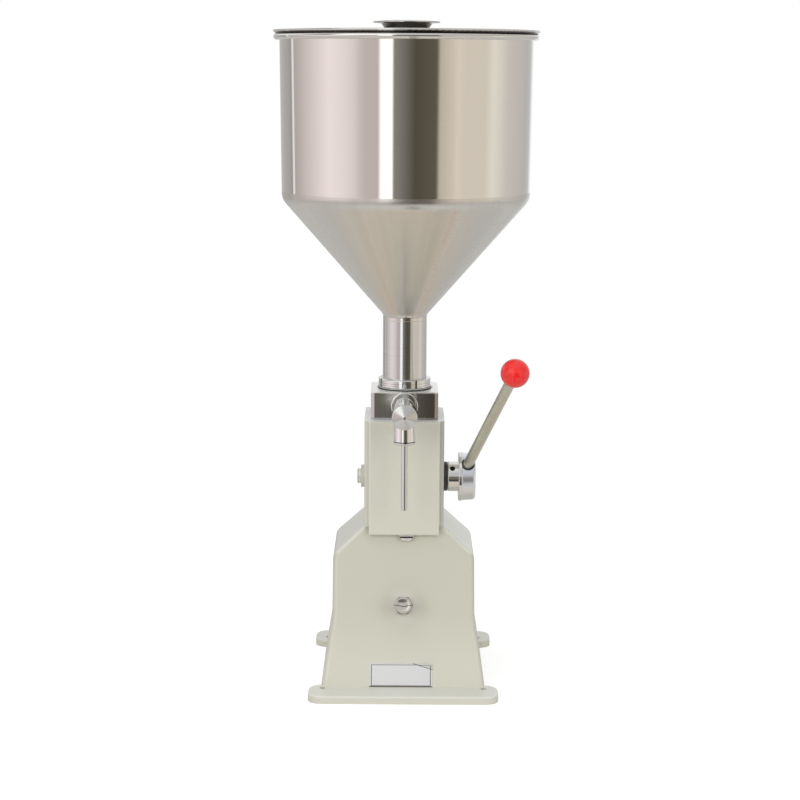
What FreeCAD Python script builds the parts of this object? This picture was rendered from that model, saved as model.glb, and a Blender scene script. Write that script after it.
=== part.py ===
"""Manual liquid filling machine: a hand-levered piston filler on a cast stand.

The hopper feeds a valve block. A piston under the block draws the product down
past an inlet valve, and pushes it out through a spring-loaded outlet valve and
a thin nozzle. The lever turns a pinion, and the pinion moves a rack that is cut
into the piston rod. Sizes are in millimetres. X is to the right, -Y is the
front, Z is up, and the origin is the middle of the four foot holes, underneath.
"""
import FreeCAD, Part
import Sketcher
import math
import os
import re
from fcgear import fcgear, involute

Vector = FreeCAD.Vector
Rotation = FreeCAD.Rotation
Placement = FreeCAD.Placement

SIZES = {
    # stand casting
    "foot_length": 216.4, "foot_depth": 45, "foot_thick": 9, "foot_round": 15,
    "foot_edge": 2.5, "foot_reach": 132, "foot_hole": 3.5, "foot_hole_x": 92,
    "foot_hole_y": 101, "base_half": 95, "waist_half": 82.1, "waist_z": 84,
    "shoulder_half": 82, "shoulder_z": 152.5, "top_half": 46, "stand_top": 185,
    "front_base": 99, "front_top": 40, "rear_base": 98, "rear_top": 71,
    "stand_wall": 7, "roof_z": 163, "roof_half": 60, "stand_edge": 6,
    "flare_round": 60, "shoulder_round": 14, "access_half": 45, "access_low": 22,
    "access_high": 120, "access_round": 12,
    # how far a cutter runs past what it cuts, the play round a bolt, a broken edge
    "overrun": 10, "play": 0.1, "edge_break": 0.8,
    # bolts in the sloped front, and the bare plate on it
    "lower_bolt_z": 97, "boss_radius": 13, "boss_depth": 17, "adjuster_radius": 6,
    "adjuster_tip": 55, "adjuster_nut": 10, "adjuster_head": 7.5, "adjuster_flats": 19,
    "upper_bolt_z": 176.5, "upper_bolt_x": 3, "clamp_radius": 5, "clamp_length": 28,
    "clamp_head": 6.5, "clamp_flats": 17, "clamp_relief": 12,
    "plate_length": 70, "plate_width": 26, "plate_sheet": 0.8, "plate_x": -2.5,
    "plate_z": 22,
    # housing casting and rear cover
    "housing_half": 46, "housing_front": 44, "housing_back": 46, "housing_top": 310,
    "housing_edge": 4, "cavity_half": 37, "cavity_front": 35.5, "cavity_back": 37,
    "cavity_round": 6, "floor_top": 193, "ceiling": 301, "pad_half": 40.7,
    "pad_front": 52.5, "pad_low": 176.5, "pad_edge": 2.5, "window_half": 26,
    "window_low": 205, "window_high": 283, "window_round": 5, "cover_lap": 8,
    "cover_sheet": 3, "left_boss": 13, "left_boss_x": 50,
    # screws: half spacings, then the radii of shanks and heads
    "foundation_x": 27, "foundation_front": -27, "foundation_back": 29,
    "foundation_screw": 4, "block_screw_at": 30, "block_screw": 3, "cover_screw_x": 29,
    "cover_screw_low": 202, "cover_screw_high": 286, "cover_screw": 2,
    "cover_screw_head": 3.8,
    # handle shaft, pinion and rack
    "shaft_y": -19, "shaft_z": 240, "shaft_radius": 8, "shaft_right": 76,
    "bush_radius": 11, "bush_flange": 17, "left_bush": 12, "right_bush": 37,
    "running_gap": 0.05, "gear_module": 2, "gear_teeth": 14, "gear_width": 14,
    "tooth_height": 1.5, "tooth_depth": 2, "tooth_play": 0.15, "tooth_angle": 20,
    "rack_gaps": 10, "key_side": 5, "keyway_reach": 10.5, "end_screw": 3,
    "end_screw_head": 8.6,
    # handle
    "neck_start": 50.6, "neck_end": 63.1, "neck_radius": 17.25, "lip_end": 66.8,
    "lip_radius": 28.5, "hub_end": 82.5, "hub_radius": 27.2, "hub_taper": 0.5,
    "hub_edge": 3.5, "handle_tilt": 47, "handle_lean": 13.3, "handle_x": 67.3,
    "rod_radius": 6, "rod_start": 10.2, "rod_tip_radius": 5, "knob_reach": 221,
    "knob_radius": 15.75, "knob_flat": 13, "socket_radius": 7.5, "socket_depth": 20,
    "set_screw_x": 56, "set_screw": 3, "set_screw_low": 8.1, "set_screw_top": 14,
    # piston, cylinder and rod
    "bore_radius": 25, "liner_radius": 29, "liner_low": 262, "liner_top": 315,
    "piston_radius": 24.9, "piston_low": 280.6, "piston_top": 300.6, "seal": 1.7,
    "seal_groove": 3.5, "lower_seal": 4, "upper_seal": 12.5, "rod_thread": 6,
    "piston_rod": 9, "rod_low": 62, "thread_top": 118, "thread_radius": 7,
    "rod_bush": 15, "rod_bush_flange": 19, "rod_bush_lip": 2.5,
    "cone_low": 84, "cone_top": 104, "cone_band": 4, "cone_small": 9, "cone_large": 17,
    "stop_nut_flats": 22, "stop_nut": 8,
    # valve block and valves
    "block_half": 38, "block_side": 38.7, "block_low": 310, "block_top": 342,
    "block_edge": 4,
    "chamber_low": 316, "pocket_low": 322, "seat_low": 332, "seat_top": 336,
    "pocket_radius": 18, "port_radius": 23.2, "port_circle": 8.6, "port_hole": 3.4,
    "disc_radius": 15, "disc_thick": 4, "stem_radius": 3, "stem_top": 351,
    "stem_thread": 2, "stem_nut": 3, "stem_nut_flats": 9,
    # outlet
    "outlet_z": 326.3, "union_radius": 15.7, "union_thick": 4, "union_spigot": 9,
    "spigot_length": 12.5, "stub_radius": 12.3, "stub_end": 52, "head_radius": 14.3,
    "head_end": 75, "cap_band": 2.5, "cap_end": 82, "plug_length": 7, "plug_bore": 4.5,
    "spout_out": 62.5, "spout_radius": 12.2, "spout_bore": 4, "spout_low": 297.6,
    "nozzle_cap_low": 293.5, "nozzle_cap_edge": 2.6, "nozzle_seat": 8,
    "nozzle_grip": 6, "nozzle_radius": 3.6, "nozzle_bore": 2.6, "nozzle_low": 218,
    "outlet_ball": 5.5, "outlet_seat": 56, "outlet_port": 4.5, "chamber_radius": 9,
    # hopper and lid
    "collar_radius": 30.35, "collar_low": 344, "collar_top": 354, "collar_bore": 19,
    "slot_depth": 2.2, "slot_width": 2, "slot_turn": 26, "neck_outer": 25.5,
    "neck_low": 346, "neck_weld_z": 422, "weld_z": 570, "sheet": 1.5, "neck_z": 427.9,
    "bend_z": 561, "bend_radius": 142, "bend_round": 18, "neck_round": 6,
    "rim_z": 743.2, "rim_radius": 144, "bead_radius": 147.2, "bead_wire": 3.5,
    "lid_radius": 151.2, "lid_low": 748.5, "lid_rim": 751.1, "lid_seat": 746.8,
    "lid_turn": 147.9, "lid_sheet": 1.2, "lid_shoulder": 750.8, "shoulder_width": 6,
    "lid_crown": 752.6, "lip_low": 738, "lip_out": 141.5, "knob_screw": 3,
    "knob_screw_head": 6, "knob_top": 762, "knob_rim": 38, "knob_foot": 25,
    "knob_waist": 29,
}

document = FreeCAD.newDocument("filling_machine")
sheet = document.addObject("Spreadsheet::Sheet", "Sizes")
for row, (alias, size) in enumerate(SIZES.items(), start=1):
    sheet.set(f"A{row}", alias)
    sheet.set(f"B{row}", str(size))
    sheet.setAlias(f"B{row}", alias)
document.recompute()

pieces = []


def cells(expression):
    """Point the plain names in an expression at the cells of the sheet."""
    def cell(match):
        word = match.group(0)
        return f"Sizes.{word}" if word in SIZES else word
    return re.sub(r"[a-z_]+", cell, str(expression))


def value(expression):
    """Number that an expression of the sheet stands for."""
    return float(sheet.evalExpression(cells(expression).replace("Sizes.", "")))


def bind(item, **sizes):
    for name, expression in sizes.items():
        item.setExpression(name, cells(expression))
    return item


def piece(item, label):
    """Name a finished sub-part, so that it is checked and written out."""
    item.Label = label
    pieces.append(item)
    return item


def move(item, x="0", y="0", z="0", turn=None):
    """Turn an item about its origin, then bind its position to the sheet."""
    if turn is not None:
        item.Placement = Placement(Vector(), turn)
    for axis, expression in zip("xyz", (x, y, z)):
        item.setExpression(f"Placement.Base.{axis}", cells(expression))
    return item


TO_RIGHT = Rotation(Vector(0, 1, 0), 90)
TO_FRONT = Rotation(Vector(1, 0, 0), 90)


def body(label):
    item = document.addObject("PartDesign::Body", label)
    item.Label = label
    return item


def sketch(owner, plane, name="profile"):
    """Sketch on one of the origin planes of its own body."""
    item = owner.newObject("Sketcher::SketchObject", name)
    support = next(f for f in owner.Origin.OriginFeatures if f.Role == plane)
    item.AttachmentSupport = [(support, "")]
    item.MapMode = "FlatFace"
    return item


def fix(item, kind, expression, *where):
    """Add a dimension to a sketch and bind it to the sheet."""
    name = f"size_{len(item.Constraints)}"
    number = item.addConstraint(Sketcher.Constraint(kind, *where, value(expression)))
    item.renameConstraint(number, name)
    item.setExpression(f"Constraints.{name}", cells(expression))


def outline(item, corners):
    """Closed outline through corners, each (x, y) or (x, y, rounding)."""
    points = [Vector(value(c[0]), value(c[1]), 0) for c in corners]
    count = len(points)
    joints = []
    for k, corner in enumerate(corners):
        back = (points[k - 1] - points[k]).normalize()
        ahead = (points[(k + 1) % count] - points[k]).normalize()
        half = back.getAngle(ahead) / 2
        radius = value(corner[2]) if len(corner) > 2 else 0
        reach = radius / math.tan(half)
        centre = points[k] + (back + ahead) * (radius / math.sin(half) / 2 / math.cos(half))
        left = back.cross(ahead).z < 0
        joints.append((points[k] + back * reach, points[k] + ahead * reach, centre, radius, left))
    lines = []
    for k in range(count):
        segment = Part.LineSegment(joints[k][1], joints[(k + 1) % count][0])
        lines.append(item.addGeometry(segment, False))
    for k, corner in enumerate(corners):
        before, after = lines[k - 1], lines[k]
        if len(corner) == 2:
            item.addConstraint(Sketcher.Constraint("Coincident", before, 2, after, 1))
            fix(item, "DistanceX", corner[0], -1, 1, after, 1)
            fix(item, "DistanceY", corner[1], -1, 1, after, 1)
            continue
        enter, leave, centre, radius, left = joints[k]
        first, last = (enter, leave) if left else (leave, enter)
        start = math.atan2(first.y - centre.y, first.x - centre.x)
        stop = math.atan2(last.y - centre.y, last.x - centre.x)
        circle = Part.Circle(centre, Vector(0, 0, 1), radius)
        turn = Part.ArcOfCircle(circle, start, stop if stop > start else stop + 2 * math.pi)
        arc = item.addGeometry(turn, False)
        tip = item.addGeometry(Part.Point(points[k]), True)
        item.addConstraint(Sketcher.Constraint("PointOnObject", tip, 1, before))
        item.addConstraint(Sketcher.Constraint("PointOnObject", tip, 1, after))
        near, far = (1, 2) if left else (2, 1)
        item.addConstraint(Sketcher.Constraint("Tangent", before, 2, arc, near))
        item.addConstraint(Sketcher.Constraint("Tangent", arc, far, after, 1))
        fix(item, "Radius", corner[2], arc)
        fix(item, "DistanceX", corner[0], -1, 1, tip, 1)
        fix(item, "DistanceY", corner[1], -1, 1, tip, 1)
    return item


def circle(item, x, y, radius):
    shape = Part.Circle(Vector(value(x), value(y), 0), Vector(0, 0, 1), value(radius))
    ring = item.addGeometry(shape, False)
    fix(item, "DistanceX", x, -1, 1, ring, 3)
    fix(item, "DistanceY", y, -1, 1, ring, 3)
    fix(item, "Radius", radius, ring)
    return item


def rectangle(item, left, low, right, high, *rounding):
    corners = [(left, low), (right, low), (right, high), (left, high)]
    return outline(item, [corner + rounding for corner in corners])


def pad(owner, profile, length, symmetric=False, reverse=False):
    item = owner.newObject("PartDesign::Pad", "pad")
    item.Profile = profile
    item.SideType = "Symmetric" if symmetric else "One side"
    item.Reversed = reverse
    bind(item, Length=length)
    return item


def pocket_through(owner, profile):
    item = owner.newObject("PartDesign::Pocket", "pocket")
    item.Profile = profile
    item.SideType = "Symmetric"
    item.Type = "ThroughAll"
    return item


def turned(label, corners):
    """Body turned about its own Z, from an outline in (radius, height)."""
    owner = body(label)
    profile = outline(sketch(owner, "XZ_Plane"), corners)
    item = owner.newObject("PartDesign::Revolution", "turn")
    item.Profile = profile
    item.ReferenceAxis = (profile, ["V_Axis"])
    item.Angle = 360
    return owner


def tube(label, bore, radius, low, high, *rounding):
    corners = [(bore, low), (radius, low) + rounding, (radius, high) + rounding, (bore, high)]
    return turned(label, corners)


def slab(label, corners, low, high):
    """Body padded upwards from an outline in the XY plane, between two heights."""
    owner = body(label)
    pad(owner, outline(sketch(owner, "XY_Plane"), corners), f"({high}) - ({low})")
    return move(owner, z=low)


def box_corners(left, front, right, back, *rounding):
    corners = [(left, front), (right, front), (right, back), (left, back)]
    return [corner + rounding for corner in corners]


def round_edges(owner, radius, chosen, kind="Fillet"):
    """Round or bevel the edges of a body for which chosen(edge) is true."""
    document.recompute()
    base = owner.Tip
    names = [f"Edge{k}" for k, edge in enumerate(base.Shape.Edges, start=1) if chosen(edge)]
    item = owner.newObject(f"PartDesign::{kind}", kind.lower())
    item.Base = (base, names)
    bind(item, **{"Radius" if kind == "Fillet" else "Size": radius})
    return owner


def upright(edge):
    """True for a straight edge that runs mostly along Z."""
    if edge.Curve.TypeId != "Part::GeomLine":
        return False
    return abs(edge.tangentAt(edge.FirstParameter).z) > 0.9


def at_top(height):
    """Test for the edges that lie wholly at the top of a body of that height."""
    return lambda edge: edge.BoundBox.ZMin > value(height) - 0.01


def cylinder(label, radius, height):
    return bind(document.addObject("Part::Cylinder", label), Radius=radius, Height=height)


def block(label, length, width, height):
    return bind(document.addObject("Part::Box", label), Length=length, Width=width, Height=height)


def join(label, *parts):
    item = document.addObject("Part::MultiFuse", label)
    item.Shapes = list(parts)
    return item


def cut(label, base, *tools):
    item = document.addObject("Part::Cut", label)
    item.Base = base
    item.Tool = tools[0] if len(tools) == 1 else join(f"{label}_tools", *tools)
    return item


def across(x, y, z, radius, height, turn, label="drill"):
    """Plain cylinder that starts at a point and runs the way the turn sends Z."""
    return move(cylinder(label, radius, height), x, y, z, turn)


def upright_hole(x, y, low, radius, depth):
    """Cutter for a hole that starts at a height and runs upwards, 1 longer at both ends."""
    return across(x, y, f"{low} - 1", radius, f"{depth} + 2", None)


def on_front(z, x="0"):
    """Placement on the stand's sloped front face, with its own Z pointing outwards."""
    lean = value("(front_base - front_top) / stand_top")
    turn = Rotation(Vector(1, 0, 0), 90 - math.degrees(math.atan(lean)))
    return Placement(Vector(value(x), lean * value(z) - value("front_base"), value(z)), turn)


def slide_out(place, distance):
    """The same placement, moved along its own Z."""
    return place.multiply(Placement(Vector(0, 0, value(distance)), Rotation()))


def hexagon(label, flats, height, bore=0):
    """Hexagonal head or nut with its corners turned off, bored if it is a nut."""
    prism = document.addObject("Part::Prism", f"{label}_hex")
    prism.Polygon = 6
    bind(prism, Circumradius=f"({flats}) / 2 / cos(30 deg)", Height=height)
    half = f"({flats}) / 2"
    dome = turned(f"{label}_dome", [
        ("0", "0"), (f"{half} * 0.95", "0"), (f"{half} * 1.16", f"({flats}) * 0.06"),
        (f"{half} * 1.16", f"({height}) - ({flats}) * 0.06"), (f"{half} * 0.95", height),
        ("0", height)])
    solid = document.addObject("Part::Common", f"{label}_solid")
    solid.Base = prism
    solid.Tool = dome
    if not bore:
        return solid
    hole = across("0", "0", "-1", bore, f"({height}) + 2", None)
    return cut(f"{label}_bored", solid, hole)


def tapered_body(label, inset, low, roof):
    """The stand's outline, drawn from the front, between its sloped front and back.

    An inset of one wall gives the hollow, whose shoulders end lower and further out.
    """
    owner = body(label)
    half = [
        (f"base_half - {inset}", low), (f"waist_half - {inset}", "waist_z", "flare_round")]
    if inset == "0":
        half += [("shoulder_half", "shoulder_z", "shoulder_round"), ("top_half", roof)]
    else:
        half += [(f"shoulder_half - {inset}", f"shoulder_z - {inset} * 0.4"), ("roof_half", roof)]
    mirrored = [(f"-({corner[0]})",) + corner[1:] for corner in reversed(half)]
    pad(owner, outline(sketch(owner, "XZ_Plane"), half + mirrored), "3 * foot_reach", True)
    below, above = "-overrun", "stand_top + overrun"
    for side, base, top in (("-1", "front_base", "front_top"), ("1", "rear_base", "rear_top")):
        slope = f"({base} - {top}) / stand_top"
        far = f"{side} * 2 * foot_reach"
        low_y = f"{side} * ({base} - {inset} - ({below}) * {slope})"
        high_y = f"{side} * ({base} - {inset} - ({above}) * {slope})"
        corners = [(low_y, below), (far, below), (far, above), (high_y, above)]
        pocket_through(owner, outline(sketch(owner, "YZ_Plane"), corners))
    return owner


def foot_bar(sign):
    """Foot bar with rounded ends and a softened top edge."""
    owner = body("foot_bar")
    near = f"{sign} * (foot_reach - foot_depth)"
    far = f"{sign} * foot_reach"
    front, back = (far, near) if sign < 0 else (near, far)
    profile = sketch(owner, "XY_Plane")
    rectangle(profile, "-foot_length / 2", front, "foot_length / 2", back, "foot_round")
    pad(owner, profile, "foot_thick")
    return round_edges(owner, "foot_edge", at_top("foot_thick"))


def stand_casting():
    """Hollow stand with sloped front and back, shoulders, feet and bolt bosses."""
    outer = tapered_body("stand_outer", "0", "0", "stand_top")

    def side_edge(edge):
        return upright(edge) and edge.BoundBox.ZMax < value("roof_z")
    round_edges(outer, "stand_edge", side_edge)
    inner = tapered_body("stand_inner", "stand_wall", "-1", "roof_z")
    window = body("access_window")
    profile = sketch(window, "XZ_Plane")
    rectangle(profile, "-access_half", "access_low", "access_half", "access_high",
              "access_round")
    pad(window, profile, "foot_reach - rear_top", reverse=True)
    move(window, y="rear_top - overrun")
    lower = on_front("lower_bolt_z")
    boss = cylinder("bolt_boss", "boss_radius", "boss_depth - 1")
    boss.Placement = slide_out(lower, "-boss_depth")
    hollow = cut("stand_hollow", outer, inner)
    solid = join("stand_solid", hollow, foot_bar(-1), foot_bar(1), boss)
    lower_hole = cylinder("lower_hole", "adjuster_radius + play", "boss_depth + overrun")
    lower_hole.Placement = slide_out(lower, "-boss_depth - 1")
    upper_hole = cylinder("upper_hole", "clamp_radius + play", "clamp_length + overrun")
    upper_hole.Placement = slide_out(on_front("upper_bolt_z", "upper_bolt_x"),
                                     "-clamp_length - 3")
    tools = [window, lower_hole, upper_hole, upright_hole("0", "0", "roof_z", "rod_bush", "25")]
    tools += [upright_hole(x, y, "roof_z", "foundation_screw + 3 * play", "25")
              for x, y in foundation_screws]
    tools += [upright_hole(x, y, "0", "foot_hole", "foot_thick")
              for x in ("-foot_hole_x", "foot_hole_x") for y in ("-foot_hole_y", "foot_hole_y")]
    piece(cut("stand", solid, *tools), "stand_casting")


foundation_screws = [(x, y) for y in ("foundation_front", "foundation_back")
                     for x in ("-foundation_x", "foundation_x")]
block_screws = [(x, y) for y in ("-block_screw_at", "block_screw_at")
                for x in ("-block_screw_at", "block_screw_at")]
cover_screws = [(x, z) for z in ("cover_screw_low", "cover_screw_high")
                for x in ("-cover_screw_x", "cover_screw_x")]


def housing():
    """Box casting that carries the shaft, the cylinder and the valve block."""
    corners = box_corners("-housing_half", "-housing_front", "housing_half", "housing_back",
                          "housing_edge")
    outer = slab("housing_outer", corners, "stand_top", "housing_top")
    front = body("front_pad")
    profile = sketch(front, "XZ_Plane")
    rectangle(profile, "-pad_half", "pad_low", "pad_half", "housing_top", "1")
    proud = "(pad_front - housing_front + 1)"
    pad(front, profile, proud)

    def front_rim(edge):
        return edge.BoundBox.YMax < -value(proud) + 0.01
    round_edges(front, "pad_edge", front_rim)
    move(front, y="1 - housing_front")
    boss = across("-left_boss_x", "shaft_y", "shaft_z", "left_boss",
                  "left_boss_x - cavity_half - 3", TO_RIGHT)
    solid = join("housing_solid", outer, front, boss)
    cavity = slab("housing_cavity", box_corners("-cavity_half", "-cavity_front", "cavity_half",
                                                "cavity_back", "cavity_round"),
                  "floor_top", "ceiling")
    window = body("rear_window")
    opening = sketch(window, "XZ_Plane")
    rectangle(opening, "-window_half", "window_low", "window_half", "window_high",
              "window_round")
    pad(window, opening, "2 * overrun", reverse=True)
    move(window, y="cavity_back - overrun / 2")
    head_relief = cylinder("head_relief", "clamp_relief", "clamp_head + 2.5")
    head_relief.Placement = slide_out(on_front("upper_bolt_z", "upper_bolt_x"), "-0.5")
    floor = "floor_top - stand_top"
    roof = "housing_top - ceiling"
    tools = [
        cavity, window, head_relief,
        upright_hole("0", "0", "ceiling", "liner_radius + running_gap", roof),
        upright_hole("0", "0", "stand_top", "rod_bush_flange + 2", floor),
        across("-left_boss_x - overrun", "shaft_y", "shaft_z", "bush_radius",
               "2 * (left_boss_x + overrun)", TO_RIGHT)]
    tools += [upright_hole(x, y, "stand_top", "foundation_screw + running_gap", floor)
              for x, y in foundation_screws]
    tools += [upright_hole(x, y, "ceiling", "block_screw + 3 * play", roof)
              for x, y in block_screws]
    tools += [across(x, "housing_back + 1", z, "cover_screw + running_gap", "8", TO_FRONT)
              for x, z in cover_screws]
    piece(cut("housing_part", solid, *tools), "housing_casting")


def rear_cover():
    """Flat cover over the window that the pinion is fitted through."""
    plate = body("cover_plate")
    profile = sketch(plate, "XZ_Plane")
    rectangle(profile, "-window_half - cover_lap", "window_low - cover_lap",
              "window_half + cover_lap", "window_high + cover_lap", "window_round + 1")
    for x, z in cover_screws:
        circle(profile, x, z, "cover_screw + 2 * play")
    pad(plate, profile, "cover_sheet", reverse=True)
    move(plate, y="housing_back")
    piece(plate, "rear_cover")
    screws = []
    for x, z in cover_screws:
        screw = turned("cover_screw", [
            ("0", "0"), ("cover_screw", "0"), ("cover_screw", "cover_sheet + 4"),
            ("cover_screw_head", "cover_sheet + 4"),
            ("cover_screw_head", "cover_sheet + 5", "0.9"), ("2", "cover_sheet + 6.4"),
            ("1.2", "cover_sheet + 6.4"), ("1.2", "cover_sheet + 5.2"),
            ("0", "cover_sheet + 5.2")])
        screws.append(move(screw, x, "housing_back - 4", z, Rotation(Vector(1, 0, 0), -90)))
    piece(join("cover_screw_group", *screws), "rear_cover_screws")


def cap_screws(label, places, head_z, shank, length):
    """Socket screws put in from below, as one group of separate solids.

    As on the standard ones, a head is as tall as its shank is thick and about 1.6 times as
    wide, and its socket is half as deep.
    """
    head = f"({shank} * 1.64)"
    tall = f"({shank} * 2)"
    screws = []
    for x, y in places:
        screw = turned(f"{label}_one", [
            ("0", shank), (f"{head} / 2", shank), (f"{head} / 2", "0"), (head, "0", "0.6"),
            (head, tall), (shank, tall), (shank, f"{tall} + {length}"),
            ("0", f"{tall} + {length}")])
        screws.append(move(screw, x, y, f"{head_z} - {tall}"))
    piece(join(f"{label}_group", *screws), label)


def front_bolts():
    """Adjusting bolt with its lock nut, and the bolt that clamps the guide bush."""
    lower = on_front("lower_bolt_z")
    head_at = "adjuster_nut + 8.4"
    point = "adjuster_radius - 2"
    shank = turned("adjusting_shank", [
        ("0", "-adjuster_tip"), (point, "-adjuster_tip"), (point, "4 - adjuster_tip"),
        ("adjuster_radius", "6 - adjuster_tip"), ("adjuster_radius", f"{head_at} + play"),
        ("0", f"{head_at} + play")])
    shank.Placement = lower
    head = hexagon("adjusting_head", "adjuster_flats", "adjuster_head")
    head.Placement = slide_out(lower, head_at)
    piece(join("adjusting", shank, head), "adjusting_bolt")
    nut = hexagon("adjusting_nut", "adjuster_flats", "adjuster_nut", "adjuster_radius + play")
    nut.Placement = lower
    piece(nut, "adjusting_lock_nut")
    upper = on_front("upper_bolt_z", "upper_bolt_x")
    clamp = cylinder("clamp_shank", "clamp_radius", "clamp_length")
    clamp.Placement = slide_out(upper, "0.5 - clamp_length")
    clamp_head = hexagon("clamp_end", "clamp_flats", "clamp_head")
    clamp_head.Placement = slide_out(upper, "running_gap")
    piece(join("clamp", clamp, clamp_head), "clamp_bolt")


def blank_plate():
    """Bare sheet plate on the lower front face."""
    owner = body("plate_blank")
    profile = sketch(owner, "XY_Plane")
    rectangle(profile, "-plate_length / 2", "-plate_width / 2", "plate_length / 2",
              "plate_width / 2", "1")
    pad(owner, profile, "plate_sheet")
    owner.Placement = on_front("plate_z", "plate_x")
    piece(owner, "blank_plate")


def valve_block():
    """Square stainless block with the pump chamber, the ports and both valve seats."""
    corners = box_corners("-block_side", "-block_half", "block_side", "block_half")
    solid = slab("block_blank", corners, "block_low", "block_top")
    round_edges(solid, "block_edge", upright, "Chamfer")
    round_edges(solid, "edge_break", at_top("block_top - block_low"), "Chamfer")
    tools = [
        across("0", "0", "block_low - 1", "liner_radius + running_gap",
               "chamber_low - block_low + 1", None),
        across("0", "0", "block_low", "bore_radius + 2 * play", "pocket_low - block_low", None),
        across("0", "0", "block_low", "pocket_radius", "seat_low - block_low", None),
        across("0", "0", "seat_low", "port_radius", "block_top - seat_low + 1", None),
        across("0", "0", "outlet_z", "outlet_port + 0.5", "block_half", TO_FRONT),
        across("0", "spigot_length + 0.5 - block_half", "outlet_z", "union_spigot + play",
               "spigot_length + 1", TO_FRONT)]
    tools += [across(x, y, "block_low - 1", "block_screw + running_gap", "14", None)
              for x, y in block_screws]
    piece(cut("block_part", solid, *tools), "valve_block")


def cylinder_parts():
    """Liner that hangs from the block, its gasket, and the bush that guides the rod."""
    piece(tube("liner", "bore_radius", "liner_radius", "liner_low", "liner_top", "edge_break"),
          "cylinder_liner")
    piece(tube("liner_ring", "bore_radius + 3 * play", "liner_radius", "liner_top",
               "chamber_low"), "liner_gasket")
    bore = "piston_rod + running_gap"
    lip = "stand_top + rod_bush_lip"
    piece(turned("rod_bush_part", [
        (bore, "roof_z"), ("rod_bush", "roof_z"), ("rod_bush", "stand_top"),
        ("rod_bush_flange", "stand_top"), ("rod_bush_flange", lip, "edge_break"),
        (bore, lip)]), "rod_guide_bush")


def piston():
    """Piston with two ring grooves, screwed onto the top of the rod."""
    bore = "rod_thread + running_gap"
    floor = "piston_radius - seal_groove"
    corners = [("0", "piston_top - 8"), (bore, "piston_top - 8"), (bore, "piston_low"),
               ("piston_radius", "piston_low", "edge_break")]
    rings = []
    for groove in ("lower_seal", "upper_seal"):
        low = f"piston_low + {groove}"
        top = f"{low} + seal_groove"
        corners += [("piston_radius", low), (floor, low), (floor, top), ("piston_radius", top)]
        ring = bind(document.addObject("Part::Torus", "ring"), Radius1="piston_radius - seal",
                    Radius2="seal")
        rings.append(move(ring, z=f"{low} + seal_groove / 2"))
    corners += [("piston_radius", "piston_top", "edge_break"), ("0", "piston_top")]
    piece(turned("piston_part", corners), "piston")
    piece(join("ring_pair", *rings), "piston_seals")


def rack_rod():
    """Piston rod with the rack cut into its front side and a thread at its foot."""
    owner = turned("rack_rod_part", [
        ("0", "rod_low"), ("thread_radius", "rod_low", "1.5"), ("thread_radius", "thread_top"),
        ("piston_rod", "thread_top", "1"), ("piston_rod", "piston_low"),
        ("rod_thread", "piston_low"), ("rod_thread", "piston_top - 9"), ("0", "piston_top - 9")])
    document.recompute()
    pitch = "gear_module * pi"
    pitch_line = "(shaft_y + gear_module * gear_teeth / 2)"
    tip = f"{pitch_line} - tooth_height"
    reach = f"{pitch} * rack_gaps / 2"
    flat = sketch(owner, "YZ_Plane", "flat")
    rectangle(flat, "-20", f"shaft_z - {reach}", tip, f"shaft_z + {reach}")
    pocket_through(owner, flat)
    gap = sketch(owner, "YZ_Plane", "tooth_gap")
    low = f"shaft_z - {pitch} * (rack_gaps - 1) / 2"
    root = f"{pitch_line} + tooth_depth"
    flank = "tan(tooth_angle * 1 deg)"
    narrow = f"({pitch} / 4 + tooth_play / 2 - tooth_depth * {flank})"
    wide = f"({pitch} / 4 + tooth_play / 2 + (tooth_height + 1) * {flank})"
    outline(gap, [(f"{tip} - 1", f"{low} - {wide}"), (root, f"{low} - {narrow}"),
                  (root, f"{low} + {narrow}"), (f"{tip} - 1", f"{low} + {wide}")])
    first = pocket_through(owner, gap)
    row = owner.newObject("PartDesign::LinearPattern", "teeth")
    row.Originals = [first]
    row.Direction = (gap, ["V_Axis"])
    bind(row, Length=f"{pitch} * (rack_gaps - 1)")
    row.Occurrences = int(value("rack_gaps"))
    owner.Tip = row
    piece(owner, "rack_rod")


def volume_stop():
    """Tapered nut on the rod, which the adjusting bolt stops, and its lock nut."""
    bore = "thread_radius + running_gap"
    top = "cone_top + cone_band"
    piece(turned("stop_cone", [
        (bore, "cone_low"), ("cone_small", "cone_low"), ("cone_large", "cone_top"),
        ("cone_large", top, "1"), (bore, top)]), "volume_stop_cone")
    nut = hexagon("volume_nut", "stop_nut_flats", "stop_nut", bore)
    piece(move(nut, z=top), "volume_lock_nut")


def pinion():
    """Involute pinion keyed to the shaft."""
    wire = fcgear.FCWireBuilder()
    module = value("gear_module")
    root_rounding, thinner_teeth = 0.3, -0.04
    involute.CreateExternalGear(
        wire, module, int(value("gear_teeth")), value("tooth_angle"), True,
        value("tooth_height") / module, value("tooth_depth") / module, root_rounding,
        thinner_teeth)
    face = Part.Face(Part.Wire([edge.toShape() for edge in wire.wire]))
    width = value("gear_width")
    gear = face.extrude(Vector(0, 0, width))
    gear = gear.cut(Part.makeCylinder(value("shaft_radius + running_gap"), width))
    side = value("key_side")
    keyway = Part.makeBox(side, side, width, Vector(-value("keyway_reach"), -side / 2, 0))
    gear = gear.cut(keyway)
    item = document.addObject("Part::Feature", "pinion_part")
    item.Shape = gear
    middle = Vector(-width / 2, value("shaft_y"), value("shaft_z"))
    item.Placement = Placement(middle, TO_RIGHT)
    piece(item, "pinion")


def key_blank(label):
    """Square bar in the top of the shaft, half in the shaft and half in the pinion."""
    bar = block(label, "gear_width", "key_side", "key_side")
    return move(bar, "-gear_width / 2", "shaft_y - key_side / 2",
                "shaft_z + shaft_radius - key_side / 2")


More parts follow.
